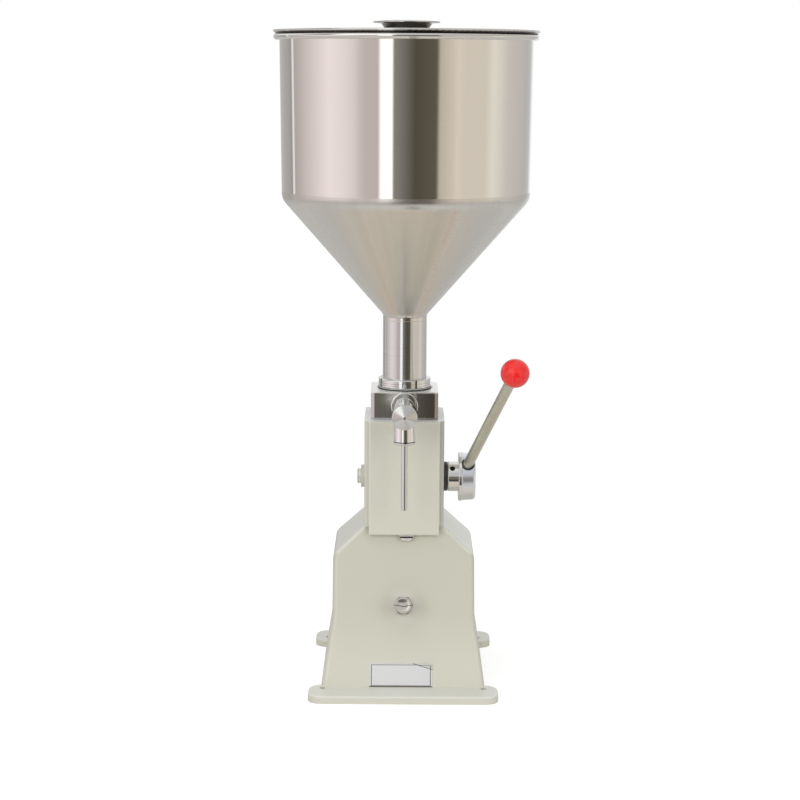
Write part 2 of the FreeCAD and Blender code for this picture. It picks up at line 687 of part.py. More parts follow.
def shaft():
    """Handle shaft with a key, a retaining screw on the left and its bushes."""
    tapped = "end_screw + running_gap"
    rod = turned("shaft_rod", [
        ("0", "12 - left_boss_x"), (tapped, "12 - left_boss_x"), (tapped, "-left_boss_x"),
        ("shaft_radius", "-left_boss_x"), ("shaft_radius", "shaft_right", "1"),
        ("0", "shaft_right")])
    move(rod, "0", "shaft_y", "shaft_z", TO_RIGHT)
    piece(cut("shaft_part", rod, key_blank("key_seat")), "handle_shaft")
    piece(key_blank("key"), "pinion_key")
    screw = turned("end_screw_part", [
        ("0", "-4.2"), ("end_screw_head", "-4.2", "1"), ("end_screw_head", "-0.25"),
        ("end_screw", "-0.25"), ("end_screw", "10"), ("0", "10")])
    piece(move(screw, "-left_boss_x", "shaft_y", "shaft_z", TO_RIGHT), "shaft_end_screw")
    bore = "shaft_radius + running_gap"
    left = tube("left_bush_part", bore, "bush_radius", "0", "left_bush", "0.4")
    piece(move(left, "2 * play - left_boss_x", "shaft_y", "shaft_z", TO_RIGHT), "left_bush")
    face = "neck_start - 3 * play"
    right = turned("right_bush_part", [
        (bore, "right_bush"), ("bush_radius", "right_bush"), ("bush_radius", "housing_half"),
        ("bush_flange", "housing_half"), ("bush_flange", face, "edge_break"), (bore, face)])
    piece(move(right, "0", "shaft_y", "shaft_z", TO_RIGHT), "right_bush")


def along_handle(distance):
    """Placement on the lever's centre line, with its own Z pointing at the knob."""
    lean = Rotation(Vector(0, 1, 0), value("handle_lean"))
    tilt = Rotation(Vector(1, 0, 0), value("handle_tilt"))
    start = Vector(value("handle_x"), value("shaft_y"), value("shaft_z"))
    return slide_out(Placement(start, tilt.multiply(lean)), distance)


def across_neck(distance):
    """Placement at right angles to the hub's neck, on the side that the lever is on."""
    tilt = Rotation(Vector(1, 0, 0), value("handle_tilt"))
    middle = Vector(value("set_screw_x"), value("shaft_y"), value("shaft_z"))
    return slide_out(Placement(middle, tilt), distance)


def handle():
    """Turned hub with a neck, the lever rod and its ball knob."""
    bore = "shaft_radius + 0.02"
    hub = turned("hub_blank", [
        ("0", "shaft_right + 0.5"), (bore, "shaft_right + 0.5"), (bore, "neck_start"),
        ("neck_radius", "neck_start", "1.2"), ("neck_radius", "neck_end"),
        ("lip_radius", "neck_end", "edge_break"), ("lip_radius", "lip_end", "edge_break"),
        ("hub_radius + hub_taper", "lip_end + 0.6"),
        ("hub_radius - hub_taper", "hub_end", "hub_edge"), ("0", "hub_end")])
    move(hub, "0", "shaft_y", "shaft_z", TO_RIGHT)
    socket = cylinder("rod_socket", "rod_radius + running_gap", "lip_radius")
    socket.Placement = along_handle("rod_start - 2 * play")
    mouth = cylinder("rod_mouth", "socket_radius", "lip_radius")
    mouth.Placement = along_handle("socket_depth")
    screw_hole = cylinder("set_screw_hole", "set_screw", "neck_radius")
    screw_hole.Placement = across_neck("shaft_radius - 0.5")
    piece(cut("hub_part", hub, socket, mouth, screw_hole), "handle_hub")
    hexagon_socket = "set_screw / 2"
    screw = turned("set_screw_part", [
        ("0", "set_screw_low"), ("set_screw - running_gap", "set_screw_low", "0.6"),
        ("set_screw - running_gap", "set_screw_top"), (hexagon_socket, "set_screw_top"),
        (hexagon_socket, "set_screw_top - 2"), ("0", "set_screw_top - 2")])
    screw.Placement = across_neck("0")
    piece(screw, "hub_set_screw")
    shoulder = "knob_reach - knob_flat"
    rod = turned("lever_rod", [
        ("0", "rod_start"), ("rod_radius", "rod_start", "1"), ("rod_radius", shoulder),
        ("rod_tip_radius", shoulder), ("rod_tip_radius", "knob_reach + 3"),
        ("0", "knob_reach + 3")])
    rod.Placement = along_handle("0")
    piece(rod, "handle_rod")
    ball = bind(document.addObject("Part::Sphere", "ball"), Radius="knob_radius")
    ball.Placement = along_handle("knob_reach")
    flat = cylinder("ball_flat", "knob_radius", "knob_radius")
    flat.Placement = along_handle(f"{shoulder} - knob_radius")
    drill = cylinder("ball_drill", "rod_tip_radius + running_gap", "knob_flat + 4")
    drill.Placement = along_handle(shoulder)
    piece(cut("ball_part", ball, flat, drill), "ball_knob")


def coil(label, radius, wire, length, turns):
    """Compression spring along its own Z, swept along a helix of fitted points.

    The wire has eight sides, which closes the swept surface without a seam.
    """
    steps, sides = 12, 8
    points = []
    for k in range(steps * turns + 1):
        angle = 2 * math.pi * k / steps
        rise = length * k / (steps * turns)
        points.append(Vector(radius * math.cos(angle), radius * math.sin(angle), rise))
    helix = Part.BSplineCurve()
    helix.interpolate(points)
    outwards = Vector(1, 0, 0)
    upwards = helix.tangent(helix.FirstParameter)[0].cross(outwards)
    section = []
    for k in range(sides + 1):
        angle = 2 * math.pi * k / sides
        section.append(points[0] + (outwards * math.cos(angle) + upwards * math.sin(angle)) * wire)
    item = document.addObject("Part::Feature", label)
    item.Shape = Part.Wire([helix.toShape()]).makePipeShell([Part.makePolygon(section)], True, True)
    return item


def inlet_valve():
    """Ported seat plate and the spring-held disc that closes it from below."""
    seat = body("seat_plate")
    profile = sketch(seat, "XY_Plane")
    circle(profile, "0", "0", "port_radius - play")
    circle(profile, "0", "0", "stem_radius + play")
    for turn in range(0, 360, 60):
        circle(profile, f"port_circle * cos({turn} deg)", f"port_circle * sin({turn} deg)",
               "port_hole")
    pad(seat, profile, "seat_top - seat_low")
    piece(move(seat, z="seat_low"), "inlet_seat")
    face = "seat_low - running_gap"
    nut_low = "stem_top - stem_nut - 1"
    piece(turned("disc_part", [
        ("0", "seat_low - disc_thick"), ("disc_radius", "seat_low - disc_thick", "1"),
        ("disc_radius", face), ("stem_radius", face), ("stem_radius", nut_low),
        ("stem_thread", nut_low), ("stem_thread", "stem_top"), ("0", "stem_top")]),
        "inlet_valve_disc")
    nut = hexagon("valve_nut", "stem_nut_flats", "stem_nut", "stem_thread + running_gap")
    piece(move(nut, z=nut_low), "inlet_stem_nut")
    wire = 0.45
    room = value(f"{nut_low} - seat_top") - 2 * wire
    spring = coil("inlet_coil", value("stem_radius") + 0.8, wire, room - 0.1, turns=4)
    spring.Placement = Placement(Vector(0, 0, value("seat_top") + wire), Rotation())
    piece(spring, "inlet_spring")


def outlet():
    """Outlet stub with its check valve, front cap, spout and nozzle tube.

    The stub, the union ring and the cap are turned about an axis that runs forwards from
    the front of the block. The spout hangs from the stub.
    """
    face = "-block_half"
    union = turned("union_part", [
        ("outlet_port", "-spigot_length"), ("union_spigot", "-spigot_length"),
        ("union_spigot", "running_gap"), ("union_radius", "running_gap"),
        ("union_radius", "union_thick", "1.2"), ("outlet_port", "union_thick")])
    piece(move(union, "0", face, "outlet_z", TO_FRONT), "outlet_union")
    stub = turned("outlet_stub", [
        ("outlet_port", "union_thick"), ("stub_radius", "union_thick"),
        ("stub_radius", "stub_end", "3"), ("head_radius", "stub_end + 1.5", "3"),
        ("head_radius", "head_end"), ("chamber_radius", "head_end"),
        ("chamber_radius", "outlet_seat + 2"), ("outlet_port", "outlet_seat")])
    move(stub, "0", face, "outlet_z", TO_FRONT)
    stub_space = turned("stub_space", [
        ("0", "0"), ("outlet_port", "0"), ("outlet_port", "outlet_seat"),
        ("chamber_radius", "outlet_seat + 2"), ("chamber_radius", "head_end + 1"),
        ("0", "head_end + 1")])
    move(stub_space, "0", face, "outlet_z", TO_FRONT)
    spout_y = "-block_half - spout_out"
    drop = "outlet_z - spout_low"
    spout = across("0", spout_y, "spout_low", "spout_radius", drop, None, "spout_tube")
    spout_bore = across("0", spout_y, "spout_low - 1", "spout_bore", f"{drop} + 1", None)
    cap_seat = upright_hole("0", spout_y, "spout_low", "nozzle_seat + running_gap",
                            "nozzle_grip + 1")
    solid = join("outlet_solid", stub, spout)
    piece(cut("outlet_part", solid, stub_space, spout_bore, cap_seat), "outlet_body")
    inside = "chamber_radius - running_gap"
    plug = turned("cap_part", [
        ("plug_bore", "head_end - plug_length"), (inside, "head_end - plug_length"),
        (inside, "head_end"), ("head_radius", "head_end", "0.5"),
        ("head_radius", "head_end + cap_band", "1.5"), ("1.5", "cap_end"), ("0", "cap_end"),
        ("0", "head_end"), ("plug_bore", "head_end")])
    piece(move(plug, "0", face, "outlet_z", TO_FRONT), "outlet_end_cap")
    ball = bind(document.addObject("Part::Sphere", "check_ball"), Radius="outlet_ball")
    seated = "outlet_seat + sqrt(outlet_ball ^ 2 - outlet_port ^ 2)"
    move(ball, "0", f"-block_half - ({seated}) - running_gap", "outlet_z")
    piece(ball, "outlet_check_ball")
    wire = 0.45
    ball_front = value(f"{seated} + outlet_ball")
    room = value("head_end") - ball_front - 1.4
    spring = coil("outlet_coil", value("outlet_port") - 1.3, wire, room, turns=4)
    start = Vector(0, -value("block_half") - ball_front - wire - 0.15, value("outlet_z"))
    spring.Placement = Placement(start, TO_FRONT)
    piece(spring, "outlet_spring")
    nozzle_fit = "nozzle_radius + running_gap"
    groove = "spout_radius - 1"
    nozzle_top = "spout_low + nozzle_grip"
    cap = turned("nozzle_cap_part", [
        (nozzle_fit, "nozzle_cap_low"), ("spout_radius", "nozzle_cap_low", "nozzle_cap_edge"),
        ("spout_radius", "spout_low - edge_break"), (groove, "spout_low - edge_break"),
        (groove, "spout_low"), ("nozzle_seat", "spout_low"), ("nozzle_seat", nozzle_top),
        (nozzle_fit, nozzle_top)])
    piece(move(cap, "0", spout_y, "0"), "nozzle_cap")
    nozzle = tube("nozzle_part", "nozzle_bore", "nozzle_radius", "nozzle_low", nozzle_top)
    piece(move(nozzle, "0", spout_y, "0"), "nozzle_tube")


def hopper():
    """Hopper welded from a neck tube, a cone with a short spigot, and a rimmed cylinder.

    The inner face lies one sheet inside the outer one, so its corners lie higher by the
    sheet times the tangent of half the cone's lean.
    """
    miter = "sheet * tan(atan((bend_radius - neck_outer) / (bend_z - neck_z)) / 2)"
    wide = "(bend_radius + (rim_radius - bend_radius) * (weld_z - bend_z) / (rim_z - bend_z))"
    piece(tube("neck_part", "neck_outer - sheet", "neck_outer", "neck_low", "neck_weld_z"),
          "hopper_neck")
    piece(turned("cone_part", [
        ("neck_outer - sheet", "neck_weld_z"), ("neck_outer", "neck_weld_z"),
        ("neck_outer", "neck_z", "neck_round"), ("bend_radius", "bend_z", "bend_round"),
        (wide, "weld_z"), (f"{wide} - sheet", "weld_z"),
        ("bend_radius - sheet", f"bend_z + {miter}", "bend_round - sheet"),
        ("neck_outer - sheet", f"neck_z + {miter}", "neck_round + sheet")]), "hopper_cone")
    shell = turned("cylinder_part", [
        (f"{wide} - sheet", "weld_z"), (wide, "weld_z"), ("rim_radius", "rim_z"),
        ("rim_radius - sheet", "rim_z")])
    bead = bind(document.addObject("Part::Torus", "bead"), Radius1="bead_radius",
                Radius2="bead_wire")
    move(bead, z="rim_z")
    piece(join("cylinder_rimmed", shell, bead), "hopper_cylinder")


def neck_fittings():
    """Slotted collar that the neck stands in, and the gasket between it and the block."""
    spigot = "port_radius - play"
    socket = "neck_outer + running_gap"
    collar = turned("collar_blank", [
        ("collar_bore", "seat_top"), (spigot, "seat_top"), (spigot, "collar_low"),
        ("collar_radius", "collar_low", "edge_break"), ("collar_radius", "collar_top", "1.5"),
        (socket, "collar_top"), (socket, "neck_low"), ("collar_bore", "neck_low")])
    slot = sketch(collar, "XY_Plane", "spanner_slot")
    rectangle(slot, "collar_radius - slot_depth", "-slot_width / 2", "collar_radius + 2",
              "slot_width / 2")
    first = pocket_through(collar, slot)
    ring = collar.newObject("PartDesign::PolarPattern", "slots")
    ring.Originals = [first]
    ring.Axis = (slot, ["N_Axis"])
    ring.Angle = 360
    ring.Occurrences = 4
    collar.Tip = ring
    collar.Placement = Placement(Vector(), Rotation(Vector(0, 0, 1), value("slot_turn") - 90))
    piece(collar, "neck_collar")
    piece(tube("gasket_part", "port_radius", "collar_radius + 0.6", "block_top", "collar_low"),
          "hopper_gasket")


def lid():
    """Dished lid with a locating lip, and the knob that is screwed on from inside.

    The lid lies on the hopper's bead in a flat channel, and its edge is rolled outwards
    above the bead, which leaves a dark gap for the fingers.
    """
    under = "lip_out - lid_sheet"
    channel = "lid_seat + lid_sheet"
    roll = "lid_turn + lid_sheet"
    step = "lip_out - shoulder_width"
    bore = "knob_screw + play"
    piece(turned("lid_part", [
        (bore, "lid_crown - lid_sheet"), (step, "lid_shoulder - lid_sheet"),
        (under, "lid_seat"), (under, "lip_low"), ("lip_out", "lip_low"),
        ("lip_out", "lid_seat"), (roll, "lid_seat", "0.7"), (roll, "lid_low"),
        ("lid_radius", "lid_low", "1.1"), ("lid_radius", "lid_rim", "1.2"),
        ("lid_turn", "lid_rim", "0.7"), ("lid_turn", channel, "1"), ("lip_out", channel, "1"),
        (step, "lid_shoulder", "2"), (bore, "lid_crown")]), "lid")
    tapped = "knob_screw + running_gap"
    piece(turned("knob_part", [
        ("0", "knob_top"), ("0", "lid_crown + 7"), (tapped, "lid_crown + 7"),
        (tapped, "lid_crown + play"), ("knob_foot", "lid_crown + play"),
        ("knob_waist", "knob_top - 3.4", "1"), ("knob_rim", "knob_top - 2.6", "0.5"),
        ("knob_rim", "knob_top - 1.2", "0.5"), ("knob_foot", "knob_top")]), "lid_knob")
    seat = "lid_crown - lid_sheet - 3 * play"
    piece(turned("knob_screw_part", [
        ("0", f"{seat} - 3.5"), ("knob_screw_head", f"{seat} - 2.5", "0.5"),
        ("knob_screw_head", seat), ("knob_screw", seat), ("knob_screw", "lid_crown + 6"),
        ("0", "lid_crown + 6")]), "lid_knob_screw")


def check_and_write():
    """Stop on any failed object or bad shape, then write one file per sub-part."""
    document.recompute()
    for item in document.Objects:
        if "Invalid" in item.State or "Error" in item.State:
            raise RuntimeError(f"{item.Label} ({item.Name}) failed: {item.State}")
    os.makedirs("parts", exist_ok=True)
    for item in pieces:
        shape = item.Shape
        if shape.isNull() or not shape.isValid() or not shape.Solids:
            raise RuntimeError(f"{item.Label} has a bad shape")
    for item in pieces:
        item.Shape.exportStep(f"parts/{item.Label}.step")
        print(f"{item.Label:22s} solids {len(item.Shape.Solids)} volume {item.Shape.Volume:12.1f}")
    print(len(pieces), "sub-parts")


stand_casting()
housing()
rear_cover()
cap_screws("housing_screws", foundation_screws, "roof_z", "foundation_screw", "29")
cap_screws("block_screws", block_screws, "ceiling", "block_screw", "20")
front_bolts()
blank_plate()
valve_block()
cylinder_parts()
piston()
rack_rod()
volume_stop()
pinion()
shaft()
handle()
inlet_valve()
outlet()
hopper()
neck_fittings()
lid()
check_and_write()
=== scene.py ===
import math

import bmesh
import bpy
import numpy as np
from mathutils import Matrix


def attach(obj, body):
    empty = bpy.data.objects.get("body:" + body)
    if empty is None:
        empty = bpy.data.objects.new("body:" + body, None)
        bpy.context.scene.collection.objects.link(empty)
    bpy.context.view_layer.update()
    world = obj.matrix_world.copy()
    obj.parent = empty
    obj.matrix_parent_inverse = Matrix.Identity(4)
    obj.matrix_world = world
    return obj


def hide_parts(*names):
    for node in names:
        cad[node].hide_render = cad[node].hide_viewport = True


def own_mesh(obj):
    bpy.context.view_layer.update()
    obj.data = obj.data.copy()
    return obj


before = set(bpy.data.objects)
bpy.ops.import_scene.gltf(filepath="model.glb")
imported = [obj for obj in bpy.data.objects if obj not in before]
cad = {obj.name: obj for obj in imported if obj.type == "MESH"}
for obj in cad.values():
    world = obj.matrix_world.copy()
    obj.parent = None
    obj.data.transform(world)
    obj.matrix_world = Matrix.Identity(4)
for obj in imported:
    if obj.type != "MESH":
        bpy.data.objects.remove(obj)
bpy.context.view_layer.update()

# Camera
# A long lens on a stand, a little lower than the rim of the hopper and tipped down by
# about ten degrees. It leans by a third of a degree.
lens_mm = 87.75
eye_point = (-0.0053, -2.245, 0.7135)
tip_down = math.radians(9.78)
lean = math.radians(0.33)

camera_data = bpy.data.cameras.new("photo_camera")
camera_data.lens = lens_mm
camera_data.sensor_width = 36.0
camera_data.clip_start = 0.05
camera_data.clip_end = 60.0
camera = bpy.data.objects.new("photo_camera", camera_data)
aim = Matrix.Rotation(math.pi / 2 - tip_down, 4, "X") @ Matrix.Rotation(lean, 4, "Z")
camera.matrix_world = Matrix.Translation(eye_point) @ aim
bpy.context.scene.collection.objects.link(camera)
bpy.context.scene.camera = camera


# Stand casting
# A hollow iron casting with two foot bars, filled, rubbed down and sprayed with glossy
# cream enamel. The paint keeps soft waves, and is paler towards the bottom. A painted
# highlight lightens it round the lower bolt, and a painted sheen lightens upward faces.
class Value:
    """A shader socket that can be used in a Python expression."""

    def __init__(self, shade, socket):
        self.shade = shade
        self.socket = socket

    def _math(self, operation, first, second):
        return self.shade.node("Math", {"operation": operation}, {0: first, 1: second})

    def __add__(self, other):
        return self._math("ADD", self, other)

    __radd__ = __add__

    def __mul__(self, other):
        return self._math("MULTIPLY", self, other)

    __rmul__ = __mul__

    def __sub__(self, other):
        return self._math("SUBTRACT", self, other)

    def __rsub__(self, other):
        return self._math("SUBTRACT", other, self)

    def above(self, level, width):
        """0 well under a level and 1 well over it, with a soft step of that width."""
        return self.shade.node("MapRange", {"interpolation_type": "SMOOTHSTEP"}, {
            "Value": self, "From Min": level - width / 2, "From Max": level + width / 2})

    def between(self, low, high, width):
        """1 between two levels and 0 outside them, with soft steps of that width."""
        return self.above(low, width) - self.above(high, width)


class Finish:
    """One material, with a Principled shader and short ways to add nodes."""

    def __init__(self, name, **sockets):
        self.material = bpy.data.materials.new(name)
        self.material.use_nodes = True
        self.tree = self.material.node_tree
        self.shader = self.tree.nodes["Principled BSDF"]
        self.set(**sockets)

    def put(self, target, value):
        """Link a Value to a socket, or write a number or a colour on it."""
        if isinstance(value, Value):
            self.tree.links.new(value.socket, target)
        elif hasattr(target.default_value, "__len__") and hasattr(value, "__len__"):
            target.default_value = (*value, 1.0)[: len(target.default_value)]
        else:
            target.default_value = value

    def set(self, **sockets):
        """Base_Color=... sets the socket Base Color, to a number, a colour or a Value."""
        for name, value in sockets.items():
            self.put(self.shader.inputs[name.replace("_", " ")], value)
        return self

    def node(self, kind, settings=None, sockets=None, output=0):
        """Any node by type: settings first, then sockets, and one output as a Value."""
        made = self.tree.nodes.new("ShaderNode" + kind)
        for name, value in (settings or {}).items():
            setattr(made, name, value)
        for name, value in (sockets or {}).items():
            self.put(made.inputs[name], value)
        return Value(self, made.outputs[output])

    def place(self, middle=(0, 0, 0), turn=(0, 0, 0), scale=(1, 1, 1)):
        """Object coordinates, taken from a middle, turned and then scaled."""
        here = self.node("TexCoord", output="Object")
        there = self.node("VectorMath", {"operation": "SUBTRACT"}, {0: here, 1: middle})
        turned = self.node("VectorRotate", {"rotation_type": "EULER_XYZ"}, {
            "Vector": there, "Rotation": turn})
        return self.node("VectorMath", {"operation": "MULTIPLY"}, {0: turned, 1: scale})

    def axis(self, letter, where=None):
        """One coordinate of a place, in metres."""
        here = where or self.place()
        return self.node("SeparateXYZ", None, {"Vector": here}, "XYZ".index(letter))

    def noise(self, scale, detail=2.0, roughness=0.5, where=None):
        """Soft random spots, 0 to 1, that many to the metre unless a place scales them."""
        sockets = {"Vector": where or self.place(), "Scale": scale, "Detail": detail,
                   "Roughness": roughness}
        return self.node("TexNoise", None, sockets)

    def mix(self, first, second, factor):
        """One colour at factor 0 and the other at 1. Sockets 6 and 7 are the node's colours."""
        return self.node("Mix", {"data_type": "RGBA"}, {0: factor, 6: first, 7: second}, 2)

    def bump(self, height, depth):
        """Normal of a surface raised by the depth, in metres, where the height is 1."""
        return self.node("Bump", None, {"Height": height, "Distance": depth})

    def from_axis(self, middle=(0, 0, 0), turn=(0, 0, 0)):
        """Distance from an axis and height along it. The turn brings the axis to Z."""
        there = self.place(middle, turn)
        flat = self.node("VectorMath", {"operation": "MULTIPLY"}, {0: there, 1: (1, 1, 0)})
        radius = self.node("VectorMath", {"operation": "LENGTH"}, {0: flat}, "Value")
        return radius, self.axis("Z", there)

    def lathe_marks(self, density, middle=(0, 0, 0), turn=(0, 0, 0)):
        """Uneven rings round an axis, that many to the metre, on ends and sides alike."""
        radius, height = self.from_axis(middle, turn)
        rings = self.node("CombineXYZ", None, {"X": radius * density, "Z": height * density})
        return self.noise(1.0, 2.5, 0.6, rings)


def dress(finish, *names):
    """Give CAD nodes one finish."""
    for name in names:
        slots = cad[name].data.materials
        slots.clear()
        slots.append(finish.material)


cream = (0.565, 0.55, 0.452)
cream_dusty = (0.535, 0.515, 0.42)
pale_cream = (0.68, 0.665, 0.58)
sheen_cream = (0.73, 0.725, 0.65)
front_at_foot, front_at_top, slope_height = 0.099, 0.04, 0.185
slope = math.atan((front_at_foot - front_at_top) / slope_height)
lower_bolt = (0, -front_at_foot + 0.097 * math.tan(slope), 0.097)
upper_bolt = (0.003, -front_at_foot + 0.1765 * math.tan(slope), 0.1765)
out_of_slope = (slope - math.pi / 2, 0, 0)

enamel = Finish("cream_enamel", Coat_Weight=0.2, Coat_Roughness=0.1)
waves = enamel.noise(11, 1.5, 0.4)
orange_peel = enamel.noise(380, 1.5)
blotches = enamel.noise(6, 3)
height = enamel.axis("Z")
paler_low = (1 - height.above(0.06, 0.09)) * 0.5 + (1 - height.above(0.0098, 0.002)) * 0.1
# Painted light: a sheen on faces that look upwards, and a highlight round the lower bolt.
upwards = enamel.axis("Z", enamel.node("NewGeometry", output="Normal")).above(0.55, 0.3)
bolt_halo_light = 1 - enamel.from_axis(lower_bolt, out_of_slope)[0].above(0.017, 0.014)
enamel.set(
    Base_Color=enamel.mix(
        enamel.mix(
            enamel.mix(cream, cream_dusty, blotches * 0.35), pale_cream,
            paler_low + bolt_halo_light * 0.7),
        sheen_cream, upwards * 0.9),
    Roughness=0.26 + blotches * 0.14,
    Normal=enamel.bump(waves + orange_peel * 0.012, 0.0008))
dress(enamel, "stand_casting")

# Housing casting
# A box casting with a machined front pad. It is bolted down on the stand and sprayed with
# the same enamel. Painted highlights run along the pad's side edges and the top edge, the
# top face is painted near white as lit, and the part right of the pad is painted in shade.
half_pad, housing_top = 0.0407, 0.31
pad_cream, pad_dusty, shaded_side_cream = (0.66, 0.645, 0.545), (0.62, 0.6, 0.5), (0.49, 0.48, 0.4)
highlight_cream, lit_top_cream = (0.74, 0.73, 0.65), (0.93, 0.93, 0.91)
boxed = Finish("housing_enamel", Coat_Weight=0.2, Coat_Roughness=0.09)
soft_waves = boxed.noise(14, 1.5, 0.4)
fine_peel = boxed.noise(400, 1.5)
tone = boxed.noise(9, 3)
sideways = boxed.node("Math", {"operation": "ABSOLUTE"}, {0: boxed.axis("X")})
# Painted highlights along the pad's edges and the top edge, a painted lit top face, and painted
# shade right of the pad.
edge_highlight = sideways.between(half_pad - 0.0012, half_pad + 0.001, 0.001)
top_edge_highlight = boxed.axis("Z").above(housing_top - 0.0012, 0.001)
lit_top = boxed.axis("Z").above(housing_top - 0.0003, 0.0003)
shaded_right = boxed.axis("X").above(half_pad + 0.0006, 0.0006)
boxed.set(
    Base_Color=boxed.mix(
        boxed.mix(
            boxed.mix(boxed.mix(pad_cream, pad_dusty, tone), shaded_side_cream, shaded_right),
            highlight_cream, edge_highlight * (1 - shaded_right) * 0.5 + top_edge_highlight * 0.5),
        lit_top_cream, lit_top),
    Roughness=0.22 + tone * 0.14,
    Normal=boxed.bump(soft_waves + fine_peel * 0.012, 0.0009))
dress(boxed, "housing_casting", "rear_cover")

# Screws of the castings
# Bought socket screws in blackened steel, put in from below and from behind. Their heads
# are turned, and lightly rubbed on the rim.
socket_screws = Finish("blackened_screws", Metallic=0.85)
rubbed = socket_screws.noise(900, 2)
socket_screws.set(
    Base_Color=socket_screws.mix((0.05, 0.05, 0.052), (0.3, 0.3, 0.3), rubbed.above(0.6, 0.2)),
    Roughness=0.32 + rubbed * 0.2)
dress(socket_screws, "rear_cover_screws", "housing_screws", "block_screws")

# Adjusting bolt and clamp bolt
# Zinc-plated hexagon bolts, square on the sloped front. The forged head of the lower one
# is dished, and its shank is threaded behind its lock nut. Its head carries a painted dark
# reflection line and painted shade in the upper part of the dish, and is darker round its
# rim. The head of the upper one carries a painted shadow line from the pad above it.
bolt_plating = (0.74, 0.71, 0.65)
nut_plating = (0.5, 0.49, 0.46)
clamp_plating = (0.9, 0.88, 0.83)
thread_pitch = 0.00175
shank_radius = 0.0063
head_radius = 0.0092


def plated(name, middle, dish):
    """Zinc plate on a bolt, dished on the end of its head and threaded on its shank.

    Along the shank the thread rises and falls in each pitch, as a triangle wave. Gives the
    finish, the distance from the bolt's axis, and the place on its head.
    """
    made = Finish(name, Metallic=1.0)
    radius, height = made.from_axis(middle, out_of_slope)
    winding = made.node("Math", {"operation": "FRACT"}, {0: height * (1 / thread_pitch)})
    thread = made.node("Math", {"operation": "PINGPONG"}, {0: winding, 1: 0.5})
    on_shank = 1 - radius.above(shank_radius, 0.0002)
    cup = 1 - radius.above(0.0062, 0.0024)
    scale = made.noise(700, 3)
    made.set(
        Roughness=0.22 + scale * 0.12,
        Normal=made.bump(thread * on_shank * 0.9 - cup * dish + scale * 0.05, 0.001))
    return made, radius, made.place(middle, out_of_slope)


hexagon, from_bolt, on_head = plated("adjuster_plating", lower_bolt, 0.6)
head_x, head_up = (hexagon.axis(letter, on_head) for letter in "XY")
# Painted on the head: a dark reflection line, and shade in the upper part of the dish.
sag = hexagon.node("Math", {"operation": "ABSOLUTE"}, {0: head_x}) * 0.16
on_face = 1 - from_bolt.above(head_radius, 0.0006)
dark_reflection_line = (head_up - sag).between(-0.0018, -0.0009, 0.0004) * on_face
dish_shade = 1 - hexagon.node("VectorMath", {"operation": "LENGTH"}, {
    0: hexagon.place((lower_bolt[0] - 0.001, lower_bolt[1] - 0.002, lower_bolt[2] + 0.0058),
                     out_of_slope, (0.38, 1.0, 0.0))}, "Value").above(0.002, 0.0012)
dark_rim = from_bolt.above(head_radius + 0.0002, 0.0012) * 0.7
hexagon.set(Base_Color=hexagon.mix(
    bolt_plating, (0.08, 0.06, 0.045), dark_reflection_line * 0.9 + dish_shade * 0.7 + dark_rim))
dress(hexagon, "adjusting_bolt")

nut = plated("lock_nut_plating", lower_bolt, 0)[0]
nut.set(Base_Color=nut.mix(nut_plating, (0.3, 0.27, 0.22), nut.noise(260, 3)))
dress(nut, "adjusting_lock_nut")

clamp, from_clamp, on_clamp = plated("clamp_plating", upper_bolt, 0)
# A painted shadow line of the pad across the head, and a darker rim.
pad_shadow_line = clamp.axis("Y", on_clamp).between(-0.0055, -0.0036, 0.0004)
clamp_edge = from_clamp.above(head_radius + 0.0001, 0.0005)
clamp.set(Base_Color=clamp.mix(
    clamp_plating, (0.02, 0.018, 0.015), pad_shadow_line * (1 - clamp_edge) + clamp_edge * 0.5))
dress(clamp, "clamp_bolt")

# Bare plate
# Thin brushed foil, stuck on the sloped front and left blank. It has a fine dark border,
# and the glue has let go at one upper corner, which curls forwards. Painted shade darkens
# the crease of the curl, and a painted shadow runs along the foot of the foil.
plate_width, plate_height, plate_centre = 0.0725, 0.027, (-0.0025, 0.0216)
foil_thick = 0.00035
fold_way, fold_line = (0.3, 0.954), 0.0173
curl_radius = 0.0042


def curled_foil(columns, rows):
    """Points of the foil, and its own two coordinates.

    The foil is flat on the slope. Past a line that cuts off one corner, it winds round a
    cylinder along that line: a distance d past the line becomes r sin(d / r) along and
    r - r cos(d / r) outwards.
    """
    u, v = np.meshgrid(np.linspace(-0.5, 0.5, columns), np.linspace(-0.5, 0.5, rows))
    x, y = u * plate_width, v * plate_height
    past = np.maximum(x * fold_way[0] + y * fold_way[1] - fold_line, 0)
    bend = past / curl_radius
    shift = curl_radius * np.sin(bend) - past
    x, y = x + shift * fold_way[0], y + shift * fold_way[1]
    out = 0.00002 + curl_radius * (1 - np.cos(bend))
    up = np.array([0, math.sin(slope), math.cos(slope)])
    away = np.array([0, -math.cos(slope), math.sin(slope)])
    foot = np.array([plate_centre[0], -front_at_foot + plate_centre[1] * math.tan(slope),
                     plate_centre[1]])
    points = (foot + x[..., None] * np.array([1, 0, 0]) + y[..., None] * up
              + out[..., None] * away)
    return points, u, v


def close_seams(mesh):
    """Joins the points that meet at seams and poles, and turns the faces outwards."""
    work = bmesh.new()
    work.from_mesh(mesh)
    bmesh.ops.remove_doubles(work, verts=work.verts, dist=1e-7)
    bmesh.ops.recalc_face_normals(work, faces=work.faces)
    work.to_mesh(mesh)
    work.free()


